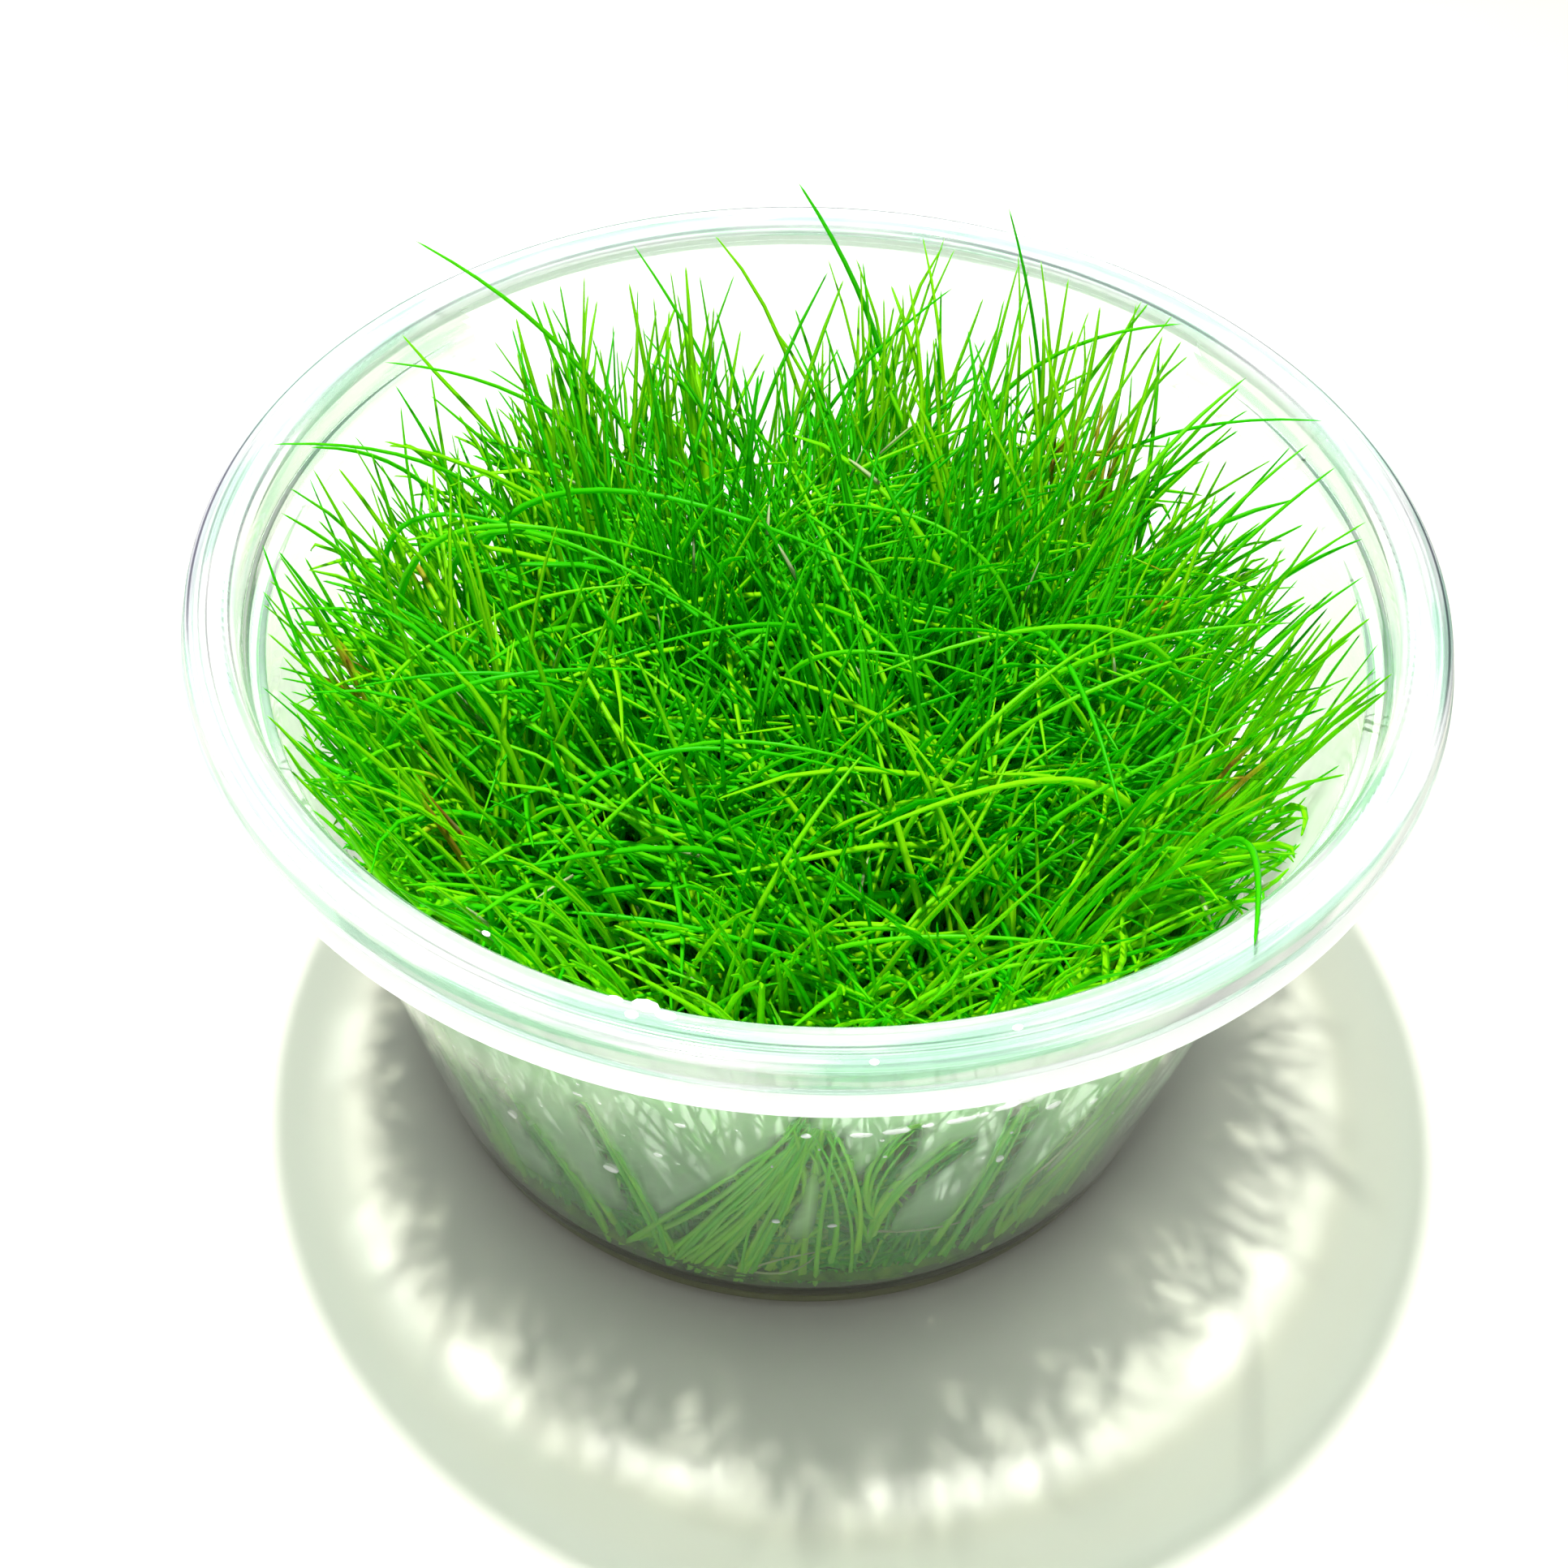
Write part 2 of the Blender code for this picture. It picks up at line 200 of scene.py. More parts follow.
def mixed(tree, share, first, second, blend="MIX"):
    """Two colours mixed by the second's share."""
    inputs = {"Factor": share, "A": first, "B": second}
    return added(tree, "Mix", inputs, data_type="RGBA", blend_type=blend).outputs["Result"]


def mixed_shaders(tree, share, first, second):
    """Two shaders mixed by the second's share."""
    return added(tree, "MixShader", {0: share, 1: first, 2: second}).outputs[0]


def object_place(tree):
    """The place on the object, in metres."""
    return added(tree, "TexCoord").outputs["Object"]


# %% [markdown]
# Floor and light
#
# The cup stands on white card. One small lamp hangs close above and behind it, so its shadow falls
# towards the viewer and is wider than the cup. A white room fills the rest with soft light. It is
# brightest overhead and behind, has a greyer band at eye level that gives clear plastic its thin
# dark outlines, and a low white panel in front that reaches the front of the cup but hardly the table.

# %% Floor
FLOOR_HALF = 2.5
CARD = {"Base Color": (0.71, 0.712, 0.632), "Roughness": 0.85, "Specular IOR Level": 0.2}
card = new_material("white_card", CARD)[0]
floor_mesh = bpy.data.meshes.new("floor")
floor_corners = [(x * FLOOR_HALF, y * FLOOR_HALF, 0.0) for x, y in ((-1, -1), (1, -1), (1, 1), (-1, 1))]
floor_mesh.from_pydata(floor_corners, [], [(0, 1, 2, 3)])
floor_mesh.materials.append(card)
floor = bpy.data.objects.new("floor", floor_mesh)
bpy.context.collection.objects.link(floor)
print("floor, metres across:", 2 * FLOOR_HALF)

# %% Lights
LAMP_PLACE = (-0.0485, 0.076, 0.522)
LAMP_AIM = (0.0, 0.0, 0.03)
LAMP_SIZE = 0.022
LAMP_POWER = 4.9
light = bpy.data.lights.new("key", "AREA")
light.shape = "DISK"
light.size = LAMP_SIZE
light.energy = LAMP_POWER
key = bpy.data.objects.new("key", light)
key.location = LAMP_PLACE
x, y, z = np.array(LAMP_AIM) - np.array(LAMP_PLACE)
key.rotation_euler = (math.acos(-z / math.hypot(x, y, z)), 0.0, math.atan2(y, x) - math.pi / 2)
bpy.context.collection.objects.link(key)
print("key light turned by", [round(turn, 3) for turn in key.rotation_euler])

# %% White room
ROOM = (
    (0.0, (0.8, 0.8, 0.8)),
    (0.07, (0.55, 0.54, 0.57)),
    (0.22, (0.82, 0.83, 0.83)),
    (1.0, (0.95, 0.96, 0.95)),
)
ROOM_STRENGTH = 0.25
PANEL_GAIN = 46.0
PANEL_TOP, PANEL_SIDE = (0.06, 0.20), (-0.75, -0.35)
NORTH_GAIN = 0.35
world = bpy.data.worlds.new("white_room")
world.use_nodes = True
bpy.context.scene.world = world
tree = world.node_tree
towards = added(tree, "TexCoord").outputs["Generated"]
_, north, height = added(tree, "SeparateXYZ", {0: towards}).outputs
low = smooth_range(tree, height, *PANEL_TOP, 1.0, 0.0)
front = smooth_range(tree, north, *PANEL_SIDE, 1.0, 0.0)
panel = maths(tree, "MULTIPLY", low, front)
lean = maths(tree, "MULTIPLY_ADD", north, NORTH_GAIN, 1.0)
strength = maths(tree, "MULTIPLY_ADD", panel, PANEL_GAIN, lean)
background = tree.nodes["Background"].inputs
tree.links.new(ramp(tree, height, ROOM), background["Color"])
tree.links.new(maths(tree, "MULTIPLY", strength, ROOM_STRENGTH), background["Strength"])
bpy.context.scene.view_settings.view_transform = "Standard"
print("nodes in the room's light:", len(tree.nodes))

# %% [markdown]
# The cup's section
#
# The cup is moulded round one axis, so one section carried round that axis gives the whole of it.
# The corners of moulded plastic are never sharp: each is replaced by a small curve, and the flat
# flange carries two fine raised beads, the skirt a step, and the lip a roll.

# %% Cup sizes
CUP_HEIGHT = 57.2
LEDGE = 51.8
FLOOR_TOP = 1.9
FILLET = 1.6
BODY_FLOOR_RADIUS = 35.9
BODY_TOP_RADIUS = 43.95
NECK_RADIUS = 45.0
FLANGE_RADIUS = 49.26
SKIRT_RADIUS = 50.0
AROUND = 288


def wall_radius(z):
    """Inner radius in millimetres at a height: the tapered body, the neck, and open air above."""
    low = FLOOR_TOP + FILLET
    slope = (BODY_TOP_RADIUS - BODY_FLOOR_RADIUS) / (LEDGE - low)
    body = np.minimum(BODY_FLOOR_RADIUS + slope * (z - low), BODY_TOP_RADIUS)
    neck = np.where(z < CUP_HEIGHT + 1.5, NECK_RADIUS, SKIRT_RADIUS - 0.4)
    return np.where(z < LEDGE, body, neck)


# %% Section and turning
def eased(corners, steps=4):
    """A section with its corners rounded.

    A corner b between a and c, with rounding r, becomes the curve
    (1-s)^2 p + 2 s (1-s) b + s^2 q, where p and q lie r away from b towards a and c.
    """
    places = np.array([corner[:2] for corner in corners])
    out = [places[:1]]
    s = np.linspace(0.0, 1.0, steps + 1)[:, None]
    for a, b, c, r in zip(places, places[1:], places[2:], (corner[2] for corner in corners[1:])):
        to_a, to_c = a - b, c - b
        near = min(r, 0.45 * np.linalg.norm(to_a), 0.45 * np.linalg.norm(to_c))
        p = b + to_a / np.linalg.norm(to_a) * near
        q = b + to_c / np.linalg.norm(to_c) * near
        out.append((1 - s) ** 2 * p + 2 * s * (1 - s) * b + s ** 2 * q)
    out.append(places[-1:])
    return np.concatenate(out)


def evened(section, longest):
    """The same section with points added so that no span is longer than a given length.

    Light through clear walls bends by the surface's slope, and smooth shading spreads a corner's
    slope over the whole span beside it, so the spans have to be short.
    """
    out = [section[:1]]
    for a, b in zip(section, section[1:]):
        count = max(1, math.ceil(np.linalg.norm(b - a) / longest))
        out.append(a + (b - a) * (np.arange(1, count + 1) / count)[:, None])
    return np.concatenate(out)


def turned(section, around):
    """Points and triangles of a section (r, z) carried round the Z axis.

    Point (i, j) is (r cos a, r sin a, z) with a = 2 pi j / around. The first and last points of
    the section lie on the axis, and each is one pole.
    """
    middle = section[1:-1]
    angle = 2 * math.pi * np.arange(around) / around
    ring = np.stack([np.cos(angle), np.sin(angle)], -1)
    flat = middle[:, None, :1] * ring[None]
    height = np.broadcast_to(middle[:, None, 1:], flat[..., :1].shape)
    points = np.concatenate([flat, height], -1).reshape(-1, 3)
    poles = np.array([[0, 0, section[0, 1]], [0, 0, section[-1, 1]]])
    count = len(points)
    j = np.arange(around)
    k = (j + 1) % around
    last = (len(middle) - 1) * around
    first_fan = np.stack([np.full(around, count), k, j], -1)
    last_fan = np.stack([np.full(around, count + 1), last + j, last + k], -1)
    triangles = np.concatenate([first_fan, grid_triangles(len(middle), around), last_fan])
    return np.concatenate([points, poles]), triangles


# %% Cup section
WALL = 0.8
cup_corners = (
    (0.0, FLOOR_TOP, 0),
    (20.0, FLOOR_TOP, 0.5),
    (BODY_FLOOR_RADIUS - 0.2, FLOOR_TOP, 1.6),
    (BODY_TOP_RADIUS, LEDGE, 0.3),
    (NECK_RADIUS, LEDGE + 0.5, 0.3),
    (45.1, 53.4, 0.3),
    (45.35, 53.7, 0.2),
    (45.4, 56.4, 0.4),
    (46.0, CUP_HEIGHT - 0.02, 0.5),
    (46.55, CUP_HEIGHT - 0.1, 0.15),
    (46.8, CUP_HEIGHT, 0.15),
    (47.05, CUP_HEIGHT - 0.1, 0.15),
    (47.85, CUP_HEIGHT - 0.1, 0.15),
    (48.1, CUP_HEIGHT, 0.15),
    (48.35, CUP_HEIGHT - 0.1, 0.15),
    (FLANGE_RADIUS - 0.1, CUP_HEIGHT - 0.12, 0.5),
    (49.5, 55.4, 0.2),
    (49.68, 55.2, 0.15),
    (SKIRT_RADIUS - 0.05, 53.2, 0.3),
    (SKIRT_RADIUS, 52.85, 0.15),
    (49.2, 52.8, 0.15),
    (49.0, 53.4, 0.3),
    (48.5, 56.3, 0.4),
    (46.3, 56.35, 0.4),
    (NECK_RADIUS + WALL + 0.05, 55.6, 0.4),
    (NECK_RADIUS + WALL, LEDGE, 0.3),
    (BODY_TOP_RADIUS + WALL, LEDGE - 0.7, 0.4),
    (BODY_FLOOR_RADIUS + WALL, 2.6, 0.8),
    (BODY_FLOOR_RADIUS + 0.2, 0.5, 0.5),
    (35.3, 0.0, 0.3),
    (33.3, 0.0, 0.3),
    (32.3, 1.0, 0.3),
    (20.0, 1.0, 0.5),
    (0.0, 1.0, 0),
)
cup_section = evened(eased(cup_corners), 1.6)
print("points in the cup's section:", len(cup_section))

# %% [markdown]
# Clear plastic with mist inside
#
# Polystyrene is clear and bends light with an index of 1.49. Moist air has left a mist of fine drops
# on the inner wall above the gel. The mist scatters light: there the surface is rougher, and part of
# it glows white, with a faint green tint painted in for the leaves' light that reaches it. How much
# mist there is at each corner of the mesh is kept as an attribute, which a later step works out once
# the leaves that touch the wall are known, and noise breaks it into blotches. A node group says how
# much light the wall keeps from the table: most of it low down and at the thick ledge, less between
# them, and none in spots where the wall acts as a lens.


# %% More node helpers
def polar(tree, place):
    """X, Y and Z of a place, and its distance from the Z axis, the root of x^2 + y^2."""
    x, y, z = added(tree, "SeparateXYZ", {0: place}).outputs
    squared = maths(tree, "MULTIPLY_ADD", y, y, maths(tree, "MULTIPLY", x, x))
    return x, y, z, maths(tree, "SQRT", squared)


def noise(tree, place, scale, detail):
    """The strength of a noise pattern at a place."""
    inputs = {"Scale": scale, "Detail": detail, "Vector": place}
    return added(tree, "TexNoise", inputs).outputs["Fac"]


def let_light_past(tree, seen, output, colour):
    """Shows a shader, but gives shadow rays a see-through one of a colour."""
    in_shadow = added(tree, "LightPath").outputs["Is Shadow Ray"]
    open_way = added(tree, "BsdfTransparent", {"Color": colour}).outputs[0]
    tree.links.new(mixed_shaders(tree, in_shadow, seen, open_way), output.inputs["Surface"])


# %% Wall shade group
LEFT_START = 10 * MM
LEFT_RISE = 0.26
SPOT_SCALE = 134.0
SPOT_EDGE = (0.465, 0.565)
SPOTS_FOOT, SPOTS_TOP = (31 * MM, 41 * MM), (42 * MM, 50 * MM)
BODY_FADE = (20 * MM, 33 * MM)
LEDGE_SHADE = (45 * MM, 48 * MM)
HIGH_SHADE = 0.54


def wall_shade_group():
    """How much light the wall keeps back, from its height and spots just under the ledge.

    A spot is where n w is high, for noise n that is drawn out upwards and a window w of heights,
    so each spot closes in a round end above and below. The heights rise towards the left, by a
    quarter of the way there.
    """
    tree, start, end = new_group("wall_shade", {"Place": "Vector"}, {"Shade": "Float"})
    place = start.outputs["Place"]
    x, _, z = added(tree, "SeparateXYZ", {0: place}).outputs
    leftward = maths(tree, "MAXIMUM", maths(tree, "MULTIPLY_ADD", x, -1.0, -LEFT_START), 0.0)
    z = maths(tree, "MULTIPLY_ADD", leftward, -LEFT_RISE, z)
    tall = added(tree, "Mapping", {"Scale": (1.0, 1.0, 0.2), "Vector": place}).outputs[0]
    spots = noise(tree, tall, SPOT_SCALE, 0.0)
    ceiling = smooth_range(tree, z, *SPOTS_TOP, 1.0, 0.0)
    window = maths(tree, "MULTIPLY", smooth_range(tree, z, *SPOTS_FOOT), ceiling)
    lens = smooth_range(tree, maths(tree, "MULTIPLY", spots, window), *SPOT_EDGE)
    below = smooth_range(tree, z, *BODY_FADE, 1.0, HIGH_SHADE)
    body = maths(tree, "MULTIPLY_ADD", lens, -HIGH_SHADE, below)
    shade = maths(tree, "MAXIMUM", body, smooth_range(tree, z, *LEDGE_SHADE))
    tree.links.new(shade, end.inputs["Shade"])
    return tree


# %% Clear wall
PLASTIC_IOR = 1.49
CLEAR_ROUGHNESS, MIST_ROUGHNESS = 0.012, 0.14
MIST_COVER = 0.86
WHITE_SHARE = 0.27
BLOTCH_SCALE = 75.0
OPEN_LIGHT, SHADED_LIGHT = (0.98, 0.98, 0.965), (0.52, 0.53, 0.475)
clear, tree, shader, output = new_material(
    "clear_plastic", {"Base Color": (0.965, 1.0, 0.975), "Transmission Weight": 1.0, "IOR": PLASTIC_IOR}
)
place = object_place(tree)
shade = added(tree, "Group", {"Place": place}, node_tree=wall_shade_group()).outputs["Shade"]
mist = added(tree, "Attribute", attribute_name="mist").outputs["Fac"]
blotches = smooth_range(tree, noise(tree, place, BLOTCH_SCALE, 5.0), 0.30, 0.70, 0.72, 1.0)
misty = maths(tree, "MULTIPLY", mist, blotches)
rough = maths(tree, "MULTIPLY_ADD", misty, MIST_ROUGHNESS, CLEAR_ROUGHNESS)
tree.links.new(rough, shader.inputs["Roughness"])
# The green tint of the glow and the white is painted light: the leaves' green on white mist.
glow = added(tree, "BsdfTranslucent", {"Color": (0.90, 1.0, 0.86)}).outputs[0]
white = added(tree, "BsdfDiffuse", {"Color": (0.93, 1.0, 0.92)}).outputs[0]
frost = mixed_shaders(tree, WHITE_SHARE, glow, white)
cover = maths(tree, "MULTIPLY", misty, MIST_COVER)
misted = mixed_shaders(tree, cover, shader.outputs[0], frost)
let_light_past(tree, misted, output, mixed(tree, shade, OPEN_LIGHT, SHADED_LIGHT))
print("nodes in the clear wall:", len(tree.nodes))

# %% [markdown]
# The rim
#
# The ledge, flange and skirt are the thickest plastic. Light that has entered them runs round and
# leaves again all over, so the rim looks whiter than the wall. Mint-green streaks are painted round
# it, a painted reflection of the grass's green light in the plastic. Only a part of its light goes
# straight through. The streaks are noise that is drawn out along the ring, and at each fine bead of
# the mould a thin grey ring that comes and goes is painted: a painted dark outline where the bead
# bends light. The skirt's lower edge gathers the most light, so it is nearly white, and it is
# painted grey only at the two sides, as painted dark outlines where it is seen along its length.
# The foot's ring is painted dark: painted contact shade where the foot meets the table.


# %% Streak group
ROUND_SCALE, ACROSS_SCALE = 3.0, 800.0


def streak_group():
    """Streaks that run round the rim: noise over (3 cos a, 3 sin a, 800 (r - z)) in metres."""
    tree, start, end = new_group("rim_streaks", {"Place": "Vector"}, {"Streak": "Float"})
    x, y, z, radius = polar(tree, start.outputs["Place"])
    spoke = (maths(tree, "DIVIDE", part, radius) for part in (x, y))
    parts = [maths(tree, "MULTIPLY", part, ROUND_SCALE) for part in spoke]
    parts.append(maths(tree, "MULTIPLY", maths(tree, "SUBTRACT", radius, z), ACROSS_SCALE))
    place = added(tree, "CombineXYZ", enumerate(parts)).outputs[0]
    streak = noise(tree, place, 1.0, 3.0)
    tree.links.new(smooth_range(tree, streak, 0.34, 0.66), end.inputs["Streak"])
    return tree


# %% Rim line group
# Painted dark rings at the beads, standing in for the light they bend: place, half width, strength.
FRONT_LINES = ((47.45, 0.12, 0.75), (48.0, 0.10, 0.6))
ROUND_LINES = ((45.8, 0.13, 0.85),)
BACK_LINES = ((48.8, 0.13, 0.95), (49.35, 0.20, 1.0))
PATCH_SCALE = 26.0


def painted_line_group():
    """Thin grey rings: each keeps 1 - k s (1 - ((r - c) / w)^2) of the light at r from the axis.

    c, w and k are a line's place, half width and strength, and s is its side's share: some lines
    come and go round the front, and the outer ones are strong only at the sides and back. The rings
    are painted dark outlines, standing in for the light that the mould's beads bend away.
    """
    tree, start, end = new_group("rim_painted_lines", {"Place": "Vector"}, {"Clear": "Color"})
    place = start.outputs["Place"]
    _, y, _, radius = polar(tree, place)
    patchy = smooth_range(tree, noise(tree, place, PATCH_SCALE, 1.0), 0.36, 0.60, 0.4, 1.0)
    in_front = maths(tree, "MULTIPLY", patchy, smooth_range(tree, y, 0.0, 20 * MM, 1.0, 0.0))
    behind = smooth_range(tree, y, -25 * MM, -5 * MM, 0.2, 1.0)
    kept = 1.0
    for lines, side in ((FRONT_LINES, in_front), (ROUND_LINES, patchy), (BACK_LINES, behind)):
        for centre, wide, strength in lines:
            off = maths(tree, "SUBTRACT", radius, centre * MM)
            off = maths(tree, "DIVIDE", off, wide * MM)
            square = maths(tree, "MULTIPLY", off, off)
            near = maths(tree, "MAXIMUM", maths(tree, "SUBTRACT", 1.0, square), 0.0)
            lost = maths(tree, "MULTIPLY", maths(tree, "MULTIPLY", near, side), strength)
            kept = maths(tree, "MULTIPLY", kept, maths(tree, "SUBTRACT", 1.0, lost))
    grey = ramp(tree, kept, ((0.0, (0.05, 0.05, 0.08)), (1.0, (1.0, 1.0, 1.0))))
    tree.links.new(grey, end.inputs["Clear"])
    return tree


# %% Rim plastic
RIM_SHADOW = (0.53, 0.56, 0.53)
# White milkiness of the thick plastic, with mint streaks painted in as a painted reflection of the grass's
# green light.
MILK_AND_PAINTED_MINT = ((0.1, (0.62, 0.90, 0.74)), (0.45, (0.88, 1.0, 0.92)), (0.8, (1.0, 1.0, 1.0)))
rim, tree, shader, output = new_material(
    "rim_plastic", {"Transmission Weight": 0.72, "IOR": PLASTIC_IOR, "Roughness": 0.04}
)
place = object_place(tree)
streak = added(tree, "Group", {"Place": place}, node_tree=streak_group()).outputs["Streak"]
milk_and_painted_mint = ramp(tree, streak, MILK_AND_PAINTED_MINT)
unlined = added(tree, "Group", {"Place": place}, node_tree=painted_line_group()).outputs["Clear"]
tree.links.new(mixed(tree, 1.0, milk_and_painted_mint, unlined, "MULTIPLY"), shader.inputs["Base Color"])
let_light_past(tree, shader.outputs[0], output, RIM_SHADOW)

# %% Skirt edge
# Painted dark outlines at the two sides, where the skirt is seen along its length; nearly white between.
PAINTED_SIDE_OUTLINES = (
    (0.008, (0.22, 0.21, 0.29)),
    (0.03, (0.98, 1.0, 0.99)),
    (0.955, (0.98, 1.0, 0.99)),
    (0.99, (0.06, 0.08, 0.09)),
)
skirt_edge, tree, shader, output = new_material(
    "skirt_edge", {"Transmission Weight": 0.3, "IOR": PLASTIC_IOR, "Roughness": 0.08}
)
x = added(tree, "SeparateXYZ", {0: object_place(tree)}).outputs["X"]
across = maths(tree, "MULTIPLY_ADD", x, 0.5 / (SKIRT_RADIUS * MM), 0.5)
tree.links.new(ramp(tree, across, PAINTED_SIDE_OUTLINES), shader.inputs["Base Color"])
let_light_past(tree, shader.outputs[0], output, RIM_SHADOW)

# %% Foot
# Painted contact shade: a dark finish on the foot's ring, where it meets the table.
FOOT = {"Base Color": (0.075, 0.085, 0.028), "Transmission Weight": 0.3, "Roughness": 0.3}
FOOT_SHADOW = (0.3, 0.28, 0.2)
foot_shaded_plastic, tree, shader, output = new_material("foot_shaded_plastic", {**FOOT, "IOR": PLASTIC_IOR})
let_light_past(tree, shader.outputs[0], output, FOOT_SHADOW)

# %% Turn the cup
def outward(points, triangles):
    """The triangles of closed shapes, turned if need be so that the volume they hold is positive.

    The volume is a sixth of the sum of a . (b x c) over all triangles.
    """
    a, b, c = (points[triangles[:, k]] for k in range(3))
    return triangles if (a * np.cross(b, c)).sum() > 0 else triangles[:, ::-1]


NECK_BACK = 31.0
EDGE_TOP = 54.9
FOOT_TOP, FOOT_INSIDE, FOOT_OUTSIDE = 2.9, 32.6, 40.0
cup_points, cup_triangles = turned(cup_section * MM, AROUND)
cup_triangles = outward(cup_points, cup_triangles)
cup_data = mesh_from("cup", cup_points, cup_triangles, clear)
for finish in (rim, skirt_edge, foot_shaded_plastic):
    cup_data.materials.append(finish)
x, y, z = cup_points[cup_triangles].mean(1).T / MM
far = np.hypot(x, y)
in_neck = (z > LEDGE - 0.3) & (far < NECK_RADIUS + 0.6) & (y < NECK_BACK)
on_rim = (z > CUP_HEIGHT - 1.0) | (far > SKIRT_RADIUS - 2.0) | in_neck
on_edge = (z < EDGE_TOP) & (far > SKIRT_RADIUS - 1.4)
on_foot = (z < FOOT_TOP) & (far > FOOT_INSIDE) & (far < FOOT_OUTSIDE)
finish = np.select([on_foot, on_edge, on_rim], [3, 2, 1], 0)
cup_data.polygons.foreach_set("material_index", finish.astype(np.int32))
dress("clear_cup", cup_data, "clear_plastic", "cup")
print("cup triangles:", len(cup_triangles), "of them rim:", int(on_rim.sum()))

# %% [markdown]
# Drops of dew
#
# Where the mist has run together, small flat drops cling to the wall: a row of long ones under the
# skirt, a few on the lip, and many tiny ones. Each is a low dome. All of them are one mesh, worked out
# together from arrays of places and sizes.


# %% Domes
def placed(turn, radius, height):
    """Places at angles, distances from the axis, and heights."""
    return np.stack(np.broadcast_arrays(radius * np.cos(turn), radius * np.sin(turn), height), -1)


def on_wall(angle, height, off):
    """Places on the inner wall at angles in degrees and heights, off millimetres towards the axis."""
    return placed(np.radians(angle), wall_radius(np.asarray(height, float)) - off, height)


def domes(centre, along, up, wide, tall, bulge):
    """Many low domes as one set of points and triangles.

    With n = along x up, a point is c + sin p (wide cos w e + tall sin w u) + bulge cos p n, for
    p = 110, 75 and 40 degrees and w round the dome. Both ends close in a point.
    """
    sides, count = 8, len(centre)
    p = np.radians([110.0, 75.0, 40.0])[None, :, None, None]
    w = (2 * math.pi * np.arange(sides) / sides)[None, None, :, None]
    out = np.cross(along, up)
    e, u, n, c = (part[:, None, None, :] for part in (along, up, out, centre))
    size = [part[:, None, None, None] for part in (wide, tall, bulge)]
    skin = c + np.sin(p) * (size[0] * np.cos(w) * e + size[1] * np.sin(w) * u) + size[2] * np.cos(p) * n
    ends = np.stack([centre - out * bulge[:, None] * 0.5, centre + out * bulge[:, None]], 1)
    points = np.concatenate([skin.reshape(count, -1, 3), ends], 1)
    j = np.arange(sides)
    k = (j + 1) % sides
    last = 2 * sides
    base = np.stack([np.full(sides, 3 * sides), k, j], -1)
    top = np.stack([last + j, last + k, np.full(sides, 3 * sides + 1)], -1)
    one = np.concatenate([base, grid_triangles(3, sides), top])
    return points.reshape(-1, 3), repeated(one, count, points.shape[1])


# %% Dew
DEW = (
    (-83.1, 38.4, 0.9, 0.45), (-79.7, 38.6, 1.1, 0.5), (-76.6, 38.9, 0.5, 0.3), (-73.2, 38.9, 1.2, 0.5),
    (-71.0, 39.0, 0.5, 0.4), (-68.6, 39.4, 1.2, 0.5), (-66.4, 39.6, 0.8, 0.5), (-64.9, 39.9, 0.9, 0.4),
    (-62.6, 36.4, 0.7, 0.6), (-60.3, 39.6, 0.9, 0.4), (-88.5, 38.2, 0.4, 0.3), (-101.0, 37.4, 0.5, 0.35),
    (-110.6, 24.0, 0.7, 0.6), (-124.0, 24.5, 0.5, 0.5), (-112.0, 37.2, 0.45, 0.3), (-91.2, 20.5, 0.35, 0.3),
    (-104.0, 30.5, 0.4, 0.35), (-66.5, 28.4, 0.35, 0.5), (-56.4, 33.0, 0.4, 0.5), (-84.6, 19.8, 0.4, 0.25),
)
LIP_DEW = (
    (-102.1, 46.0, 1.0, 0.5), (-100.3, 46.4, 0.8, 0.4), (-102.9, 46.9, 0.5, 0.35), (-104.6, 46.1, 0.6, 0.3),
    (-117.3, 44.9, 0.35, 0.2), (-84.1, 48.6, 0.35, 0.25), (-72.7, 47.3, 0.4, 0.25),
)
rng = np.random.default_rng(11)
TINY = 110
TINY_RANGES = ((-180, 180), (25, 44), (0.10, 0.20), (0.10, 0.22))
fine = np.column_stack([rng.uniform(low, high, TINY) for low, high in TINY_RANGES])
angle, height, wide, tall = np.concatenate([np.array(DEW), fine]).T
level = placed(np.radians(angle - 90), 1.0, 0.0)
steep = np.broadcast_to([0.0, 0.0, 1.0], level.shape)
wall_drops = domes(on_wall(angle, height, 0.0), level, steep, wide, tall, np.minimum(wide, tall) * 0.6)
angle, far, wide, tall = np.array(LIP_DEW).T
turn = np.radians(angle)
spoke = placed(turn, 1.0, 0.0)
level = placed(turn - math.pi / 2, 1.0, 0.0)
places = placed(turn, far, CUP_HEIGHT - 0.08)
lip_drops = domes(places, level, spoke, wide, tall, np.minimum(wide, tall) * 0.5)
# The drops' large white diffuse share is a painted highlight: clear drops this small would show little
# else.
WATER = {"Base Color": (1.0, 1.0, 1.0), "Transmission Weight": 0.22, "IOR": 1.33, "Roughness": 0.02}
WATER_SHADOW = (0.9, 0.9, 0.9)
water, tree, shader, output = new_material("dew", WATER)
let_light_past(tree, shader.outputs[0], output, WATER_SHADOW)
dew_points = np.concatenate([wall_drops[0], lip_drops[0]]) * MM
dew_triangles = np.concatenate([wall_drops[1], lip_drops[1] + len(wall_drops[0])])
dew_data = mesh_from("dew", dew_points, outward(dew_points, dew_triangles), water)
dress("dew_drops", dew_data, "clear_plastic")
print("drops:", len(DEW) + len(LIP_DEW) + TINY, "triangles:", len(dew_triangles))

# %% [markdown]
# Gel
#
# The culture gel is a thin clear layer that looks as dark green as the felt on it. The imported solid
# has the right shape and only gets the finish.

# %% Gel finish
GEL = {"Base Color": (0.035, 0.10, 0.010), "Roughness": 0.4, "Transmission Weight": 0.12, "IOR": 1.34}
coat("nutrient_gel", new_material("culture_gel", GEL)[0])

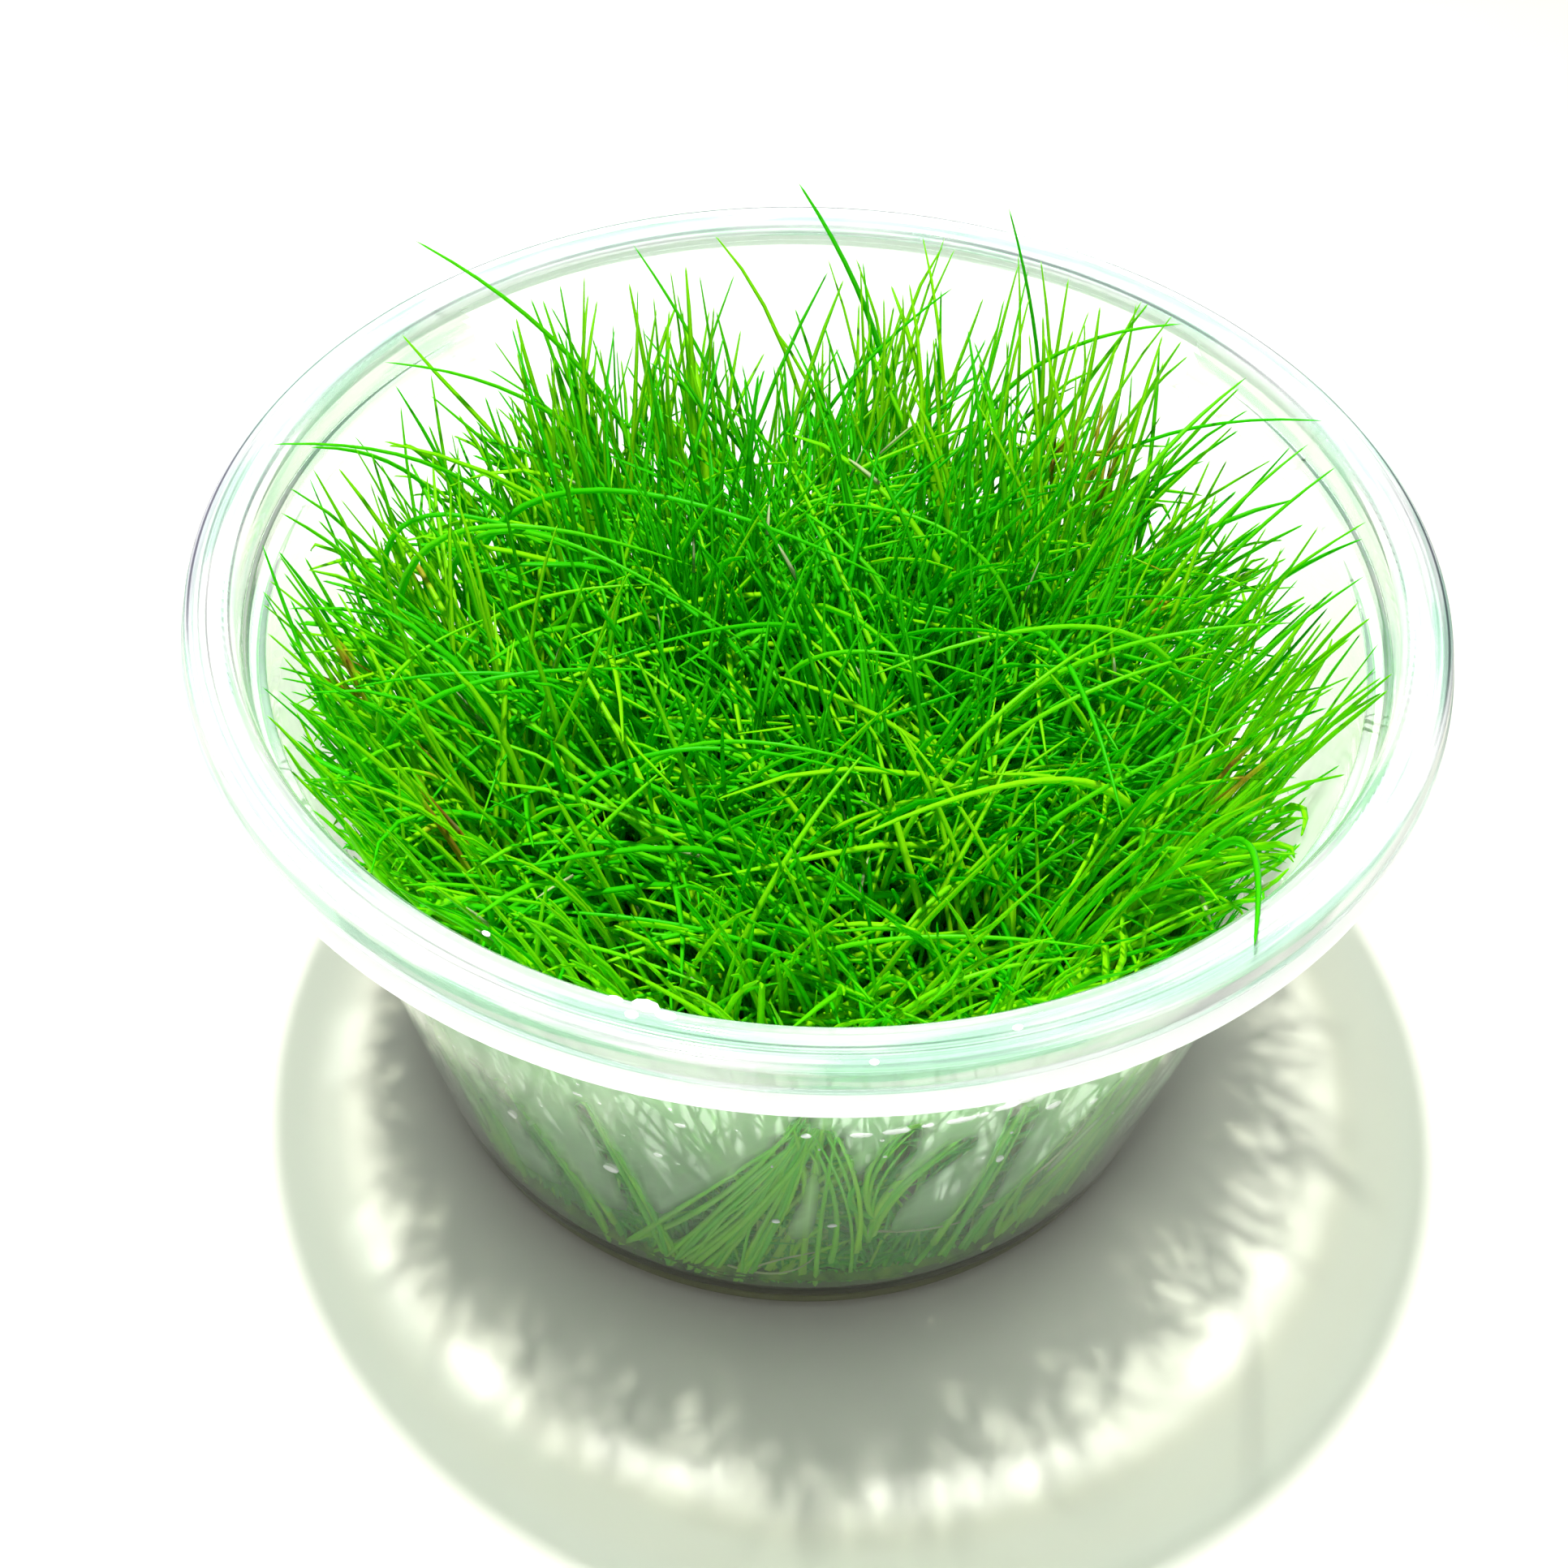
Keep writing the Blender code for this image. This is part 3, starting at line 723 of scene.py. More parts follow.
# %% [markdown]
# Strands
#
# Leaves, roots and runners are all thin, round and tapering, so one function makes them: a cubic
# curve with a small ring of three or four points carried along it. The curve's four corners set how
# it rises and bends.


# %% Strand maker
LAST_RING = 0.985
MAP_SCALE, MAP_WIDTH = 0.985, 0.012


def cubic(t, a, b, c, d):
    """The place at t on the curve (1-t)^3 A + 3t(1-t)^2 B + 3t^2(1-t) C + t^3 D."""
    return (1 - t) ** 3 * a + 3 * t * (1 - t) ** 2 * b + 3 * t ** 2 * (1 - t) * c + t ** 3 * d


def unit(vectors):
    """Vectors scaled to length 1."""
    return vectors / np.maximum(np.linalg.norm(vectors, axis=-1, keepdims=True), 1e-12)


def strands(root, shoulder, bend, tip, radius, shade, spans, sides):
    """Points, triangles and map of many thin tapering strands, each closed at both ends.

    A strand's middle line is a cubic curve. Its ring at t is middle + r(t) (a cos w + b sin w), with
    r(t) = radius (1 - 0.3 t) (1 - t^4)^0.36, where a and b are square to the line. The rings lie at
    t = 0.985 s^0.8, so they are closer near the tip, and the leaf ends bluntly at its last corner.
    The map's u is 0.985 of the strand's shade, and up to 0.012 more from side to side. Its v runs
    from the root, 0, to the tip, 1.
    """
    count = len(root)
    t = (LAST_RING * (np.arange(spans) / (spans - 1)) ** 0.8)[None, :, None]
    corners = [part[:, None, :] for part in (root, shoulder, bend, tip)]
    middle = cubic(t, *corners)
    legs = [later - sooner for sooner, later in zip(corners, corners[1:])]
    slopes = ((1 - t) ** 2, 2 * t * (1 - t), t ** 2)
    along = unit(sum(w * leg for w, leg in zip(slopes, legs)))
    ends = tip - root
    level = unit(np.stack([-ends[:, 1], ends[:, 0], np.zeros(count)], -1))[:, None, :]
    a = unit(level - (level * along).sum(-1, keepdims=True) * along)
    b = np.cross(along, a)
    turn = 2 * math.pi * np.arange(sides) / sides
    taper = radius[:, None, None] * (1 - 0.3 * t) * (1 - t ** 4) ** 0.36
    ring = a[:, :, None, :] * np.cos(turn)[:, None] + b[:, :, None, :] * np.sin(turn)[:, None]
    skin = middle[:, :, None, :] + taper[..., None] * ring
    each = spans * sides + 1
    points = np.concatenate([skin.reshape(count, -1, 3), tip[:, None, :]], axis=1).reshape(-1, 3)
    j = np.arange(sides)
    k = (j + 1) % sides
    last = (spans - 1) * sides
    closed = np.stack([np.zeros(sides - 2, int), j[2:], j[1:-1]], -1)
    point_fan = np.stack([last + j, last + k, np.full(sides, each - 1)], -1)
    one = np.concatenate([grid_triangles(spans, sides), point_fan, closed])
    wide = MAP_WIDTH * np.minimum(j, sides - j) / (sides / 2)
    u = np.concatenate([np.tile(wide, spans), [MAP_WIDTH / 2]])[None] + MAP_SCALE * shade[:, None]
    v = np.concatenate([np.repeat(t.ravel(), sides), [1.0]])[None].repeat(count, axis=0)
    return points, repeated(one, count, each), np.stack([u.ravel(), v.ravel()], -1)


def joined(*parts):
    """One set of points, triangles and map from several."""
    starts = np.cumsum([0] + [len(points) for points, _, _ in parts])
    points = np.concatenate([part[0] for part in parts])
    triangles = np.concatenate([part[1] + start for part, start in zip(parts, starts)])
    return points, triangles, np.concatenate([part[2] for part in parts])


def strand_mesh(name, made, finish):
    """A mesh of strands with their map."""
    points, triangles, places = made
    triangles = outward(points, triangles)
    data = mesh_from(name, points * MM, triangles, finish)
    layer = data.uv_layers.new(name="OFBake")
    layer.data.foreach_set("uv", places[triangles.ravel()].astype(np.float32).ravel())
    return data


# %% [markdown]
# Leaf colours
#
# A hairgrass leaf is bright green where light falls through it, darker near its foot, and yellower
# at its tip. Old bits turn straw-coloured and brown, and stems at the foot are pale. The shade of a
# leaf comes from its map's u, and the place along it from v, so one material serves every tuft.


# %% Leaf tint group
STRAW, BROWN, PALE = 0.955, 0.975, 1.0
LAST_GREEN = 0.93
LEAF_SHADES = (
    (0.0, (0.003, 0.42, 0.001)),
    (0.3, (0.006, 0.50, 0.001)),
    (0.6, (0.045, 0.62, 0.002)),
    (0.75, (0.16, 0.74, 0.003)),
    (0.92, (0.50, 0.93, 0.005)),
    (0.95, (0.55, 0.50, 0.03)),
    (0.97, (0.40, 0.22, 0.02)),
    (0.98, (0.62, 0.72, 0.38)),
)
TIP_SHARES = ((0.0, (0.0, 0.0, 0.0)), (0.45, (0.08, 0.08, 0.08)), (1.0, (0.40, 0.40, 0.40)))
TIP_GREEN = (0.07, 0.72, 0.003)
LIT_GREEN = (0.06, 0.95, 0.001)
LIT_SHARE = 0.45


def leaf_group():
    """Leaf colour from shade (u) and place along the leaf (v)."""
    tree, start, end = new_group("leaf_tint", {"Map": "Vector"}, {"Colour": "Color", "Light": "Color"})
    shade, along, _ = added(tree, "SeparateXYZ", {0: start.outputs["Map"]}).outputs
    green = maths(tree, "LESS_THAN", shade, LAST_GREEN)
    share = maths(tree, "MULTIPLY", ramp(tree, along, TIP_SHARES), green)
    tinted = mixed(tree, share, ramp(tree, shade, LEAF_SHADES), TIP_GREEN)
    lit = mixed(tree, maths(tree, "MULTIPLY", green, LIT_SHARE), tinted, LIT_GREEN)
    tree.links.new(tinted, end.inputs["Colour"])
    tree.links.new(lit, end.inputs["Light"])
    return tree


# %% Leaf material
THROUGH_SHARE = 0.54
leaf, tree, shader, output = new_material("leaf_green", {"Roughness": 0.36, "Specular IOR Level": 0.09})
own_map = added(tree, "UVMap", uv_map="OFBake").outputs[0]
tint = added(tree, "Group", {"Map": own_map}, node_tree=leaf_group()).outputs
tree.links.new(tint["Colour"], shader.inputs["Base Color"])
through = added(tree, "BsdfTranslucent", {"Color": tint["Light"]}).outputs[0]
blend = mixed_shaders(tree, THROUGH_SHARE, shader.outputs[0], through)
tree.links.new(blend, output.inputs["Surface"])

# %% [markdown]
# Felt of roots
#
# Under the grass, roots, runners and old leaf bases lie matted on the gel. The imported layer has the
# right shape and gets a speckled green finish, drawn out upwards, and several hundred thin runners
# lie in its edge, where they show through the wall.

# %% Root material
FELT_SHADES = ((0.3, (0.014, 0.07, 0.003)), (0.5, (0.06, 0.22, 0.006)), (0.72, (0.19, 0.34, 0.03)))
felted, tree, shader, _ = new_material("felted_roots", {"Roughness": 0.9, "Specular IOR Level": 0.1})
FLECK_SCALE = 620.0
FLECK_DEPTH = 0.4 * MM
drawn_up = added(tree, "Mapping", {"Scale": (1.0, 1.0, 0.25), "Vector": object_place(tree)}).outputs[0]
fleck = noise(tree, drawn_up, FLECK_SCALE, 4.0)
tree.links.new(ramp(tree, fleck, FELT_SHADES), shader.inputs["Base Color"])
bump = added(tree, "Bump", {"Distance": FLECK_DEPTH, "Height": fleck})
tree.links.new(bump.outputs[0], shader.inputs["Normal"])
coat("root_mat", felted)

# %% Runners
RUNNERS = 330
rng = np.random.default_rng(5)
start_turn = rng.uniform(-math.pi, 0.1, RUNNERS)
stop_turn = start_turn + rng.normal(0, 0.17, RUNNERS)


def at_edge(turn, low, high):
    """Places near the wall at angles, at random heights in the felt."""
    height = rng.uniform(low, high, RUNNERS)
    return placed(turn, wall_radius(height) - rng.uniform(0.38, 1.3, RUNNERS), height)


first, last = at_edge(start_turn, 2.6, 6.4), at_edge(stop_turn, 2.8, 7.6)
UNREST = (0.5, 0.5, 0.25)
legs = [first + (last - first) * share + rng.normal(0, UNREST, (RUNNERS, 3)) for share in (0.33, 0.67)]
runner_size = rng.uniform(0.11, 0.24, RUNNERS)
runners = strands(first, *legs, last, runner_size, rng.random(RUNNERS), 6, 3)
dress("root_runners", strand_mesh("root_runners", runners, felted), "felted_roots")
print("runners:", RUNNERS)

# %% [markdown]
# How the grass stands
#
# The leaves of a tuft start together and lean apart. More than half of them lean over far enough to
# lie across their neighbours, which gives the cushion its crossed, tousled top. Some stand up above
# the rest, most of all near the wall, and short young ones fill the foot. Leaves that would pass
# the wall slide along it.


# %% Tuft sites
def corner_places(data):
    """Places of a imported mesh's corners in millimetres, and how many triangles meet at each."""
    places = np.empty(len(data.vertices) * 3, np.float32)
    data.vertices.foreach_get("co", places)
    places = places.reshape(-1, 3) / MM
    number = np.empty(len(data.loops), np.int32)
    data.loops.foreach_get("vertex_index", number)
    _, first, same = np.unique(np.round(places, 2), axis=0, return_index=True, return_inverse=True)
    meet = np.bincount(same.ravel()[number], minlength=len(first))
    return places[first], meet


def tuft_plan(name):
    """The middle of a packed crown, from its lowest points, and the tips of its locks.

    A lock comes to a point, so its tip is a corner where only three triangles meet.
    """
    places, meet = corner_places(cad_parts[name].data)
    floor_level = places[:, 2].min()
    middle = places[places[:, 2] < floor_level + 0.1, :2].mean(0)
    tips = places[(meet == 3) & (places[:, 2] > floor_level + 8)]
    return middle, tips


plans = [tuft_plan(name) for name in tuft_names]
middles = np.array([middle for middle, _ in plans])
FOOT_HEIGHT = 7.0
FIELD_RADIUS = 32.0
CROWN_RADIUS = 4.9
YOUNG_SHARE = 0.18
TALLEST = 57.8
SINK = 1.3
OWN_LIGHT, PAINTED_TOP_LIGHT, PAINTED_EDGE_LIGHT, PAINTED_SIDE_LIGHT = 0.54, 0.10, 0.88, 0.08
MOST_SHADE = 0.90
UP = np.array([0.0, 0.0, 1.0])
print("crowns reach", round(float(np.hypot(*middles.T).max()), 1), "mm from the axis")
print("locks found:", sum(len(tips) for _, tips in plans))


# %% Leaves of a tuft
def held(points, margin):
    """Points kept inside the wall: r becomes w - s ln(1 + e^((w - r)/s)), where w is the wall."""
    soft = 0.5
    radius = np.hypot(points[:, 0], points[:, 1])
    most = wall_radius(points[:, 2]) - margin
    kept = most - soft * np.logaddexp(0.0, (most - radius) / soft)
    scale = np.where(radius > 1.0, np.clip(kept / np.maximum(radius, 1e-6), 0.0, 1.0), 1.0)
    return np.column_stack([points[:, :2] * scale[:, None], points[:, 2]])


MORE_LOCKS = 15
OVER_SHARE, TALL_FROM, EDGE_CHANGE = 0.68, 0.93, 0.22


def lock_plan(rng, middle, tips):
    """Heading, reach and height of each lock of a tuft, and how far it lies over, from 0 to 1.

    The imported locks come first. The others lean at random, outwards near the wall.
    """
    edge = np.hypot(*middle) / FIELD_RADIUS
    outward_turn = math.atan2(middle[1], middle[0])
    arms = tips[:, :2] - middle
    own = np.column_stack([np.arctan2(arms[:, 1], arms[:, 0]), np.hypot(*arms.T), tips[:, 2]])
    flat = rng.uniform(0.1, 0.6, (len(own), 1))
    count = MORE_LOCKS
    kind = rng.random(count)
    over = kind < OVER_SHARE - EDGE_CHANGE * edge
    tall = kind > TALL_FROM - EDGE_CHANGE * edge
    pull = np.where(over, 0.2, rng.uniform(0.45, 0.95, count)) * edge
    turn = rng.uniform(-math.pi, math.pi, count)
    x = np.cos(turn) * (1 - pull) + math.cos(outward_turn) * pull
    y = np.sin(turn) * (1 - pull) + math.sin(outward_turn) * pull
    reach = np.where(over, rng.uniform(20, 46, count), rng.uniform(5, 15 + 7 * edge, count))
    top = np.where(over, rng.uniform(38, 48, count), rng.uniform(34, 46, count))
    top = np.where(tall, rng.uniform(47, 54 + 6 * edge, count), top)
    lying = np.where(over, rng.uniform(0.5, 0.95, count), rng.uniform(0.05, 0.55, count))
    more = np.column_stack([np.arctan2(y, x), reach, top, lying])
    return np.concatenate([np.hstack([own, flat]), more])


HOLLOWS = (
    (-9.5, 0.2, 8.0, 4.5), (3.3, -0.9, 6.0, 4.0), (-2.2, -15.8, 8.0, 4.5), (20.2, -18.9, 9.0, 5.0),
    (-10.1, -28.8, 6.0, 4.0), (3.1, -22.0, 9.0, 4.5), (-19.4, -12.6, 5.0, 4.0), (11.3, -26.2, 7.0, 4.0),
    (14.5, 8.9, 5.0, 4.0), (-17.2, 4.6, 6.0, 4.0), (-27.9, -16.6, 6.0, 3.5), (8.8, 27.4, 5.0, 4.0),
    (-28.2, 12.2, 5.0, 4.0), (27.2, -2.1, 6.0, 4.0),
)


def sunk(points):
    """How far the cushion's top lies lower at places: the sum of d e^(-(r/w)^2) over its hollows."""
    return sum(
        deep * np.exp(-((points[:, 0] - x) ** 2 + (points[:, 1] - y) ** 2) / wide ** 2)
        for x, y, deep, wide in HOLLOWS
    )


def spread(rng, middle, tips, count):
    """Roots, shoulders, bends, tips, thickness and shade of a tuft's leaves, in millimetres.

    A leaf takes its lock's heading, reach and height, each a little changed. Its shoulder stands
    nearly over the root, and its bend halfway from there to the tip, raised into a slight arch. Its
    shade is its own random tone plus painted light: lighter near the wall, at the sides, and where
    it lies over the others.
    """
    plan = lock_plan(rng, middle, tips)
    mine = plan[rng.integers(0, len(plan), count)]
    young = rng.random(count) < YOUNG_SHARE
    edge = np.hypot(*middle) / FIELD_RADIUS
    turn = mine[:, 0] + rng.normal(0, 0.36, count)
    reach = mine[:, 1] * rng.uniform(0.7, 1.12, count) + rng.uniform(0, 2, count)
    top = mine[:, 2] + rng.normal(0, 2.4, count)
    lying = np.clip(mine[:, 3] + rng.normal(0, 0.12, count), 0, 1)
    reach = np.where(young, rng.uniform(2, 10, count), reach)
    top = np.where(young, rng.uniform(14, 32, count), np.minimum(top, TALLEST))
    heading = placed(turn, 1.0, 0.0)
    side = np.cross(UP, heading)
    spot = rng.uniform(0, 2 * math.pi, count)
    far = CROWN_RADIUS * np.sqrt(rng.random(count))
    root = placed(spot, far, FOOT_HEIGHT - 0.6 * rng.random(count)) + [*middle, 0]
    run = heading * reach[:, None]
    lift = (top - root[:, 2])[:, None] * UP
    bow = (rng.normal(0, 0.09, count) * reach)[:, None] * side
    rise = (0.45 + 0.38 * lying + rng.normal(0, 0.05, count))[:, None]
    early = rng.uniform(0.03, 0.20, count)[:, None]
    tip = root + run + lift
    shoulder = root + run * early + lift * rise
    arch = (reach * (0.04 + 0.13 * lying) * rng.uniform(0.3, 1.3, count))[:, None] * UP
    bend = 0.45 * shoulder + 0.55 * tip + arch + bow
    for part in (shoulder, bend, tip):
        part[:, 2] -= SINK * sunk(part)
    radius = rng.uniform(0.22, 0.37, count) + 0.19 * lying * rng.random(count)
    radius *= np.where(young, 0.75, 1.0)
    # Painted light: leaves near the wall and at the sides, and those lying on top, get lighter shades.
    outer = PAINTED_EDGE_LIGHT * edge ** 2 + PAINTED_SIDE_LIGHT * abs(middle[0]) / FIELD_RADIUS
    shade = rng.beta(2.2, 3.6, count) * OWN_LIGHT + PAINTED_TOP_LIGHT * lying + outer
    return [root, shoulder, bend, tip, radius, np.clip(shade, 0.0, MOST_SHADE)]


# Painted glints: share of a leaf's curve, lift above it, and width.
GLEAM_SHARE = 0.09
GLEAM_LIFT = 0.22
GLEAM_WIDTH = 0.55


def painted_glints(leaves, picked, starts):
    """Pale strands laid on top of leaves as painted glints, from places on their curves, a share of them
    long.
    """
    own = [part[picked] for part in leaves[:4]]
    places = [(starts + GLEAM_SHARE * step)[:, None] for step in (0.0, 1 / 3, 2 / 3, 1.0)]
    corners = [cubic(t, *own) + GLEAM_LIFT * UP for t in places]
    return [*corners, GLEAM_WIDTH * leaves[4][picked], np.full(len(picked), PALE)]


def turns(rng, middle, wide, drift, count):
    """Angles where an outer tuft's leaves start, within its share of the round, and where they stop."""
    start = math.atan2(middle[1], middle[0]) + rng.uniform(-wide, wide, count)
    return start, start + rng.normal(0, drift, count)


def risen(rng, root, tip, early, late, uneven, sizes):
    """Corners and thickness of leaves that rise at once: early and late say how far along each is."""
    way = tip - root
    bend = root + way * late + rng.normal(0, uneven, way.shape)
    return [root, root + way * early, bend, tip, rng.uniform(*sizes, len(root))]


def wall_fringe(rng, middle, count):
    """Fine leaves along the wall, most of them at its foot, for an outer tuft's share of the round."""
    start, stop = turns(rng, middle, 0.42, 0.24, count)
    top = 9 + 27 * rng.random(count) ** 2.2
    foot = rng.uniform(3.2, 6.6, count)
    root = placed(start, wall_radius(foot) - 0.4 - 0.9 * rng.random(count) ** 2, foot)
    tip = placed(stop, wall_radius(top) - 0.4 - 2.0 * rng.random(count), top)
    corners = risen(rng, root, tip, [0.1, 0.1, 0.55], [0.5, 0.5, 0.85], 0.5, (0.12, 0.25))
    return [*corners, 0.08 + 0.82 * rng.random(count) ** 1.3]


def leaners(rng, middle, count):
    """Long leaves that rise from near the wall and rest against it, for an outer tuft's share."""
    start, stop = turns(rng, middle, 0.34, 0.27, count)
    top = rng.uniform(33, 56, count)
    root = placed(start, rng.uniform(27, 34.5, count), FOOT_HEIGHT - 0.4)
    tip = placed(stop, wall_radius(top) - 0.5 - 4 * rng.random(count) ** 2, top)
    corners = risen(rng, root, tip, [0.2, 0.2, 0.45], [0.6, 0.6, 0.82], 0.6, (0.20, 0.38))
    # Painted light: their shades are kept high, as leaves against the wall catch more light through it.
    return [*corners, 0.52 + 0.38 * rng.beta(2.5, 2.0, count)]


def tamed(leaves, margin=0.4):
    """Leaves held inside the cup."""
    return [held(part, margin) for part in leaves[:4]] + leaves[4:]


# %% [markdown]
# Leaves with a place of their own
#
# The photograph shows some leaves so clearly that each has its own place: a few that reach over the
# rim, and others that lie on top of the cushion. Against the front wall, leaves cling in bundles, and
# a small plantlet with a pale root hangs there. A leaf is a curve that starts at its root, passes
# through a given place, and ends at its tip.

# %% Named leaves
LONG_LEAVES = (
    ((-14, 24), (-21, 32, 46), (-36.5, 29.5, 63.9), 0.46, 0.75),
    ((5, 30), (5, 39.5, 47), (-3.7, 42.5, 63.4), 0.44, 0.6),
    ((18, 26), (19.5, 37, 50), (15.4, 40, 63.4), 0.27, 0.45),
    ((12, 27), (23, 34.5, 53), (31, 30.5, 58.4), 0.42, 0.75),
    ((-31, 10), (-27, 15, 47), (7, 8, 46), 0.44, 0.6),
    ((23, -17), (32, -26, 53), (29.5, -38.8, 58.5), 0.42, 0.65),
    ((30, -8), (20, -14.5, 47), (3.4, -25, 51), 0.50, 0.93),
    ((-15, 5), (-12, 7, 33), (-4.6, 10, 53), 0.40, 0.93),
    ((-27, -16), (-36, -14, 40), (-43.3, -4, 58), 0.34, 0.55),
    ((26, 12), (38, 10, 45), (43.0, 3, 58), 0.34, 0.6),
)
TOP_LEAVES = (
    ((-9, -14), (-14.5, -13.2, 40), (-19.5, -12.1, 51), 0.46, 0.88),
    ((16, -20), (11.5, -15.5, 41), (6.4, -11, 49), 0.40, 0.92),
    ((-14, 22), (-27, 27, 49), (-39, 21.5, 57), 0.36, 0.75),
    ((-22, 14), (-34, 15, 51), (-45, 7.5, 58.5), 0.34, 0.7),
    ((34, 4), (22, 0.3, 49.5), (4, -5, 47.5), 0.42, 0.8),
    ((-20, -22), (-11, -14.5, 48), (5, -13.5, 45), 0.36, 0.6),
    ((15, 5), (8.3, 13.5, 49), (-1, 17, 47), 0.34, 0.7),
    ((-13, -6), (-22, -7.2, 48), (-37, -9.5, 48), 0.38, 0.45),
    ((-25, -21), (-31, -22, 37), (-31.5, -17.5, 48), 0.34, 0.9),
    ((30, 3), (38, 5, 50), (46, 6, 57.5), 0.36, 0.8),
    ((28, 6), (37, 10, 51), (45.5, 13.5, 57.5), 0.36, 0.75),
    ((30, -2), (37, 0, 48), (44, 2, 55), 0.34, 0.7),
    ((12, 20), (30, 24, 51), (42, 18, 58), 0.32, 0.6),
    ((-4, 26), (-12, 34, 50), (-18.5, 38, 59), 0.34, 0.65),
    ((-2, 22), (2, 34, 48), (11, 38, 56), 0.32, 0.6),
    ((2, 14), (-6, 0, 48), (-17, -6, 49), 0.34, 0.5),
    ((10, 8), (20, -4, 50), (24, -20, 48), 0.36, 0.55),
    ((-6, -26), (4, -30, 45), (22, -30, 46), 0.36, 0.75),
    ((10, -28), (-4, -31, 46), (-20, -30, 47), 0.34, 0.6),
    ((-22, -22), (-20, -30, 44), (-6, -36, 47), 0.34, 0.8),
    ((-33, 6), (-30.9, 7.4, 50.5), (-10.4, 7.9, 47), 0.42, 0.72),
    ((-31, 3), (-34.1, 10, 50), (-20.3, 9.4, 46.5), 0.40, 0.55),
    ((-30, 12), (-25.4, 7.5, 50.5), (-5, -0.7, 46), 0.36, 0.66),
    ((-24, 6), (-23.2, 2, 48), (-13.3, 3.4, 49), 0.34, 0.85),
    ((-33, -4), (-28.3, -9.8, 49), (-12.1, -4.7, 47), 0.40, 0.6),
    ((-22, -8), (-34.7, -6.4, 49), (-39.7, -5, 53), 0.38, 0.75),
    ((-20, -3), (-30, -4.1, 49), (-26.7, -1, 48.5), 0.32, 0.85),
    ((-20, -17), (-14.3, -20.9, 48), (-10.4, -17.5, 50), 0.38, 0.8),
    ((-5, -24), (0.6, -21.3, 49), (4.2, -16.2, 51), 0.40, 0.86),
    ((-14, -8), (-4.3, -14, 49), (8, -15.2, 47), 0.34, 0.66),
    ((-14, -17), (-18.4, -17.2, 47), (-19.4, -16.8, 50), 0.36, 0.82),
    ((14, -16), (9.7, -15.2, 48), (6.4, -12.7, 50.5), 0.34, 0.92),
    ((2, 4), (6.3, -3.5, 49), (15, -4.2, 47), 0.32, 0.7),
    ((12, -4), (21, -8.2, 50), (32.6, -3.1, 51), 0.38, 0.8),
    ((14, -10), (24.4, -15.5, 49), (34.9, -12.1, 53), 0.36, 0.74),
    ((18, 4), (25.8, -2.4, 50.5), (38, -1.8, 53), 0.38, 0.78),
    ((8, -12), (15.3, -8.9, 49), (24.9, -0.9, 51), 0.36, 0.84),
    ((24, 14), (29.8, 18.9, 53), (38.3, 26.3, 57), 0.40, 0.8),
    ((28, 8), (36.3, 13.7, 53), (41.6, 17, 56.5), 0.34, 0.78),
    ((-26, -22), (-22.7, -30.8, 48), (-17.5, -29.2, 46.5), 0.36, 0.82),
    ((-16, -30), (-19.4, -31.5, 47), (-18.3, -29.1, 50), 0.36, 0.88),
    ((10, -32), (15.1, -33.1, 47.5), (20.4, -31.3, 46.5), 0.34, 0.84),
    ((-30, -2), (-39.8, 5.6, 48), (-44.4, 3.2, 55), 0.36, 0.8),
    ((-28, 8), (-39.5, 15.9, 51), (-43.5, 10.6, 56), 0.36, 0.72),
    ((-30, -10), (-36.6, -11.3, 47), (-41.5, -8.8, 54), 0.34, 0.78),
)
PRESSED = (
    ((-104, 3.4), (-93.7, 23), (-87.6, 38.6), 5.0, 0.6, 17),
    ((-96, 6), (-91.5, 23), (-88, 38), 2.5, 0.7, 11),
    ((-81, 9), (-83.4, 26), (-86.8, 38.2), 1.0, 0.5, 4),
    ((-79.5, 17.8), (-80.9, 25), (-78.4, 37), 0.3, 0.8, 4),
    ((-79.2, 17.8), (-77.2, 25.5), (-71.9, 33.5), 0.3, 0.9, 4),
    ((-79.6, 17.8), (-81.3, 21.5), (-81.9, 26.5), 0.3, 0.5, 2),
    ((-116, 5), (-120.5, 20), (-127, 30), 2.0, 1.8, 6),
    ((-107, 4.5), (-109.6, 22), (-112.3, 34.8), 1.8, 1.0, 5),
    ((-62, 7), (-58, 21), (-51, 34), 4.0, 4.5, 9),
    ((-50, 7), (-47, 23), (-43, 38), 4.0, 4.5, 9),
    ((-134, 5), (-136, 21), (-141, 34), 5.0, 6.0, 9),
    ((-70, 7), (-67.5, 22), (-66, 37.5), 2.5, 1.5, 4),
)
PALE_STEMS = (
    ((-97.5, 6.2), (-91.5, 8.4), (-85.5, 12.3), 0.6, 0.6, 2),
    ((-79.4, 18.0), (-73.5, 15.2), (-65.3, 15.0), 0.2, 0.5, 1),
    ((-79.5, 18.0), (-79.8, 16.0), (-79.4, 13.6), 0.2, 0.2, 1),
    ((-65, 15.0), (-58.5, 19.0), (-54, 25), 0.2, 0.5, 1),
)
OLD_PLACES = (
    (25.4, 29.8, 45, 3.0, STRAW), (26.5, 27.5, 44, 2.2, BROWN), (33.2, -16.9, 48, 1.8, BROWN),
    (28.8, -24, 47.5, 1.6, BROWN), (-27.4, -18.3, 44, 3.0, BROWN), (-38.5, -3.9, 44, 2.6, BROWN),
    (30.7, 11.1, 44, 2.4, BROWN), (-35.4, 9.4, 44, 2.0, STRAW), (-22.1, 6.1, 46, 1.6, STRAW),
    (22, 31, 43, 2.0, BROWN), (-31, -12, 43, 2.2, BROWN), (34, -10, 44, 2.0, BROWN),
)


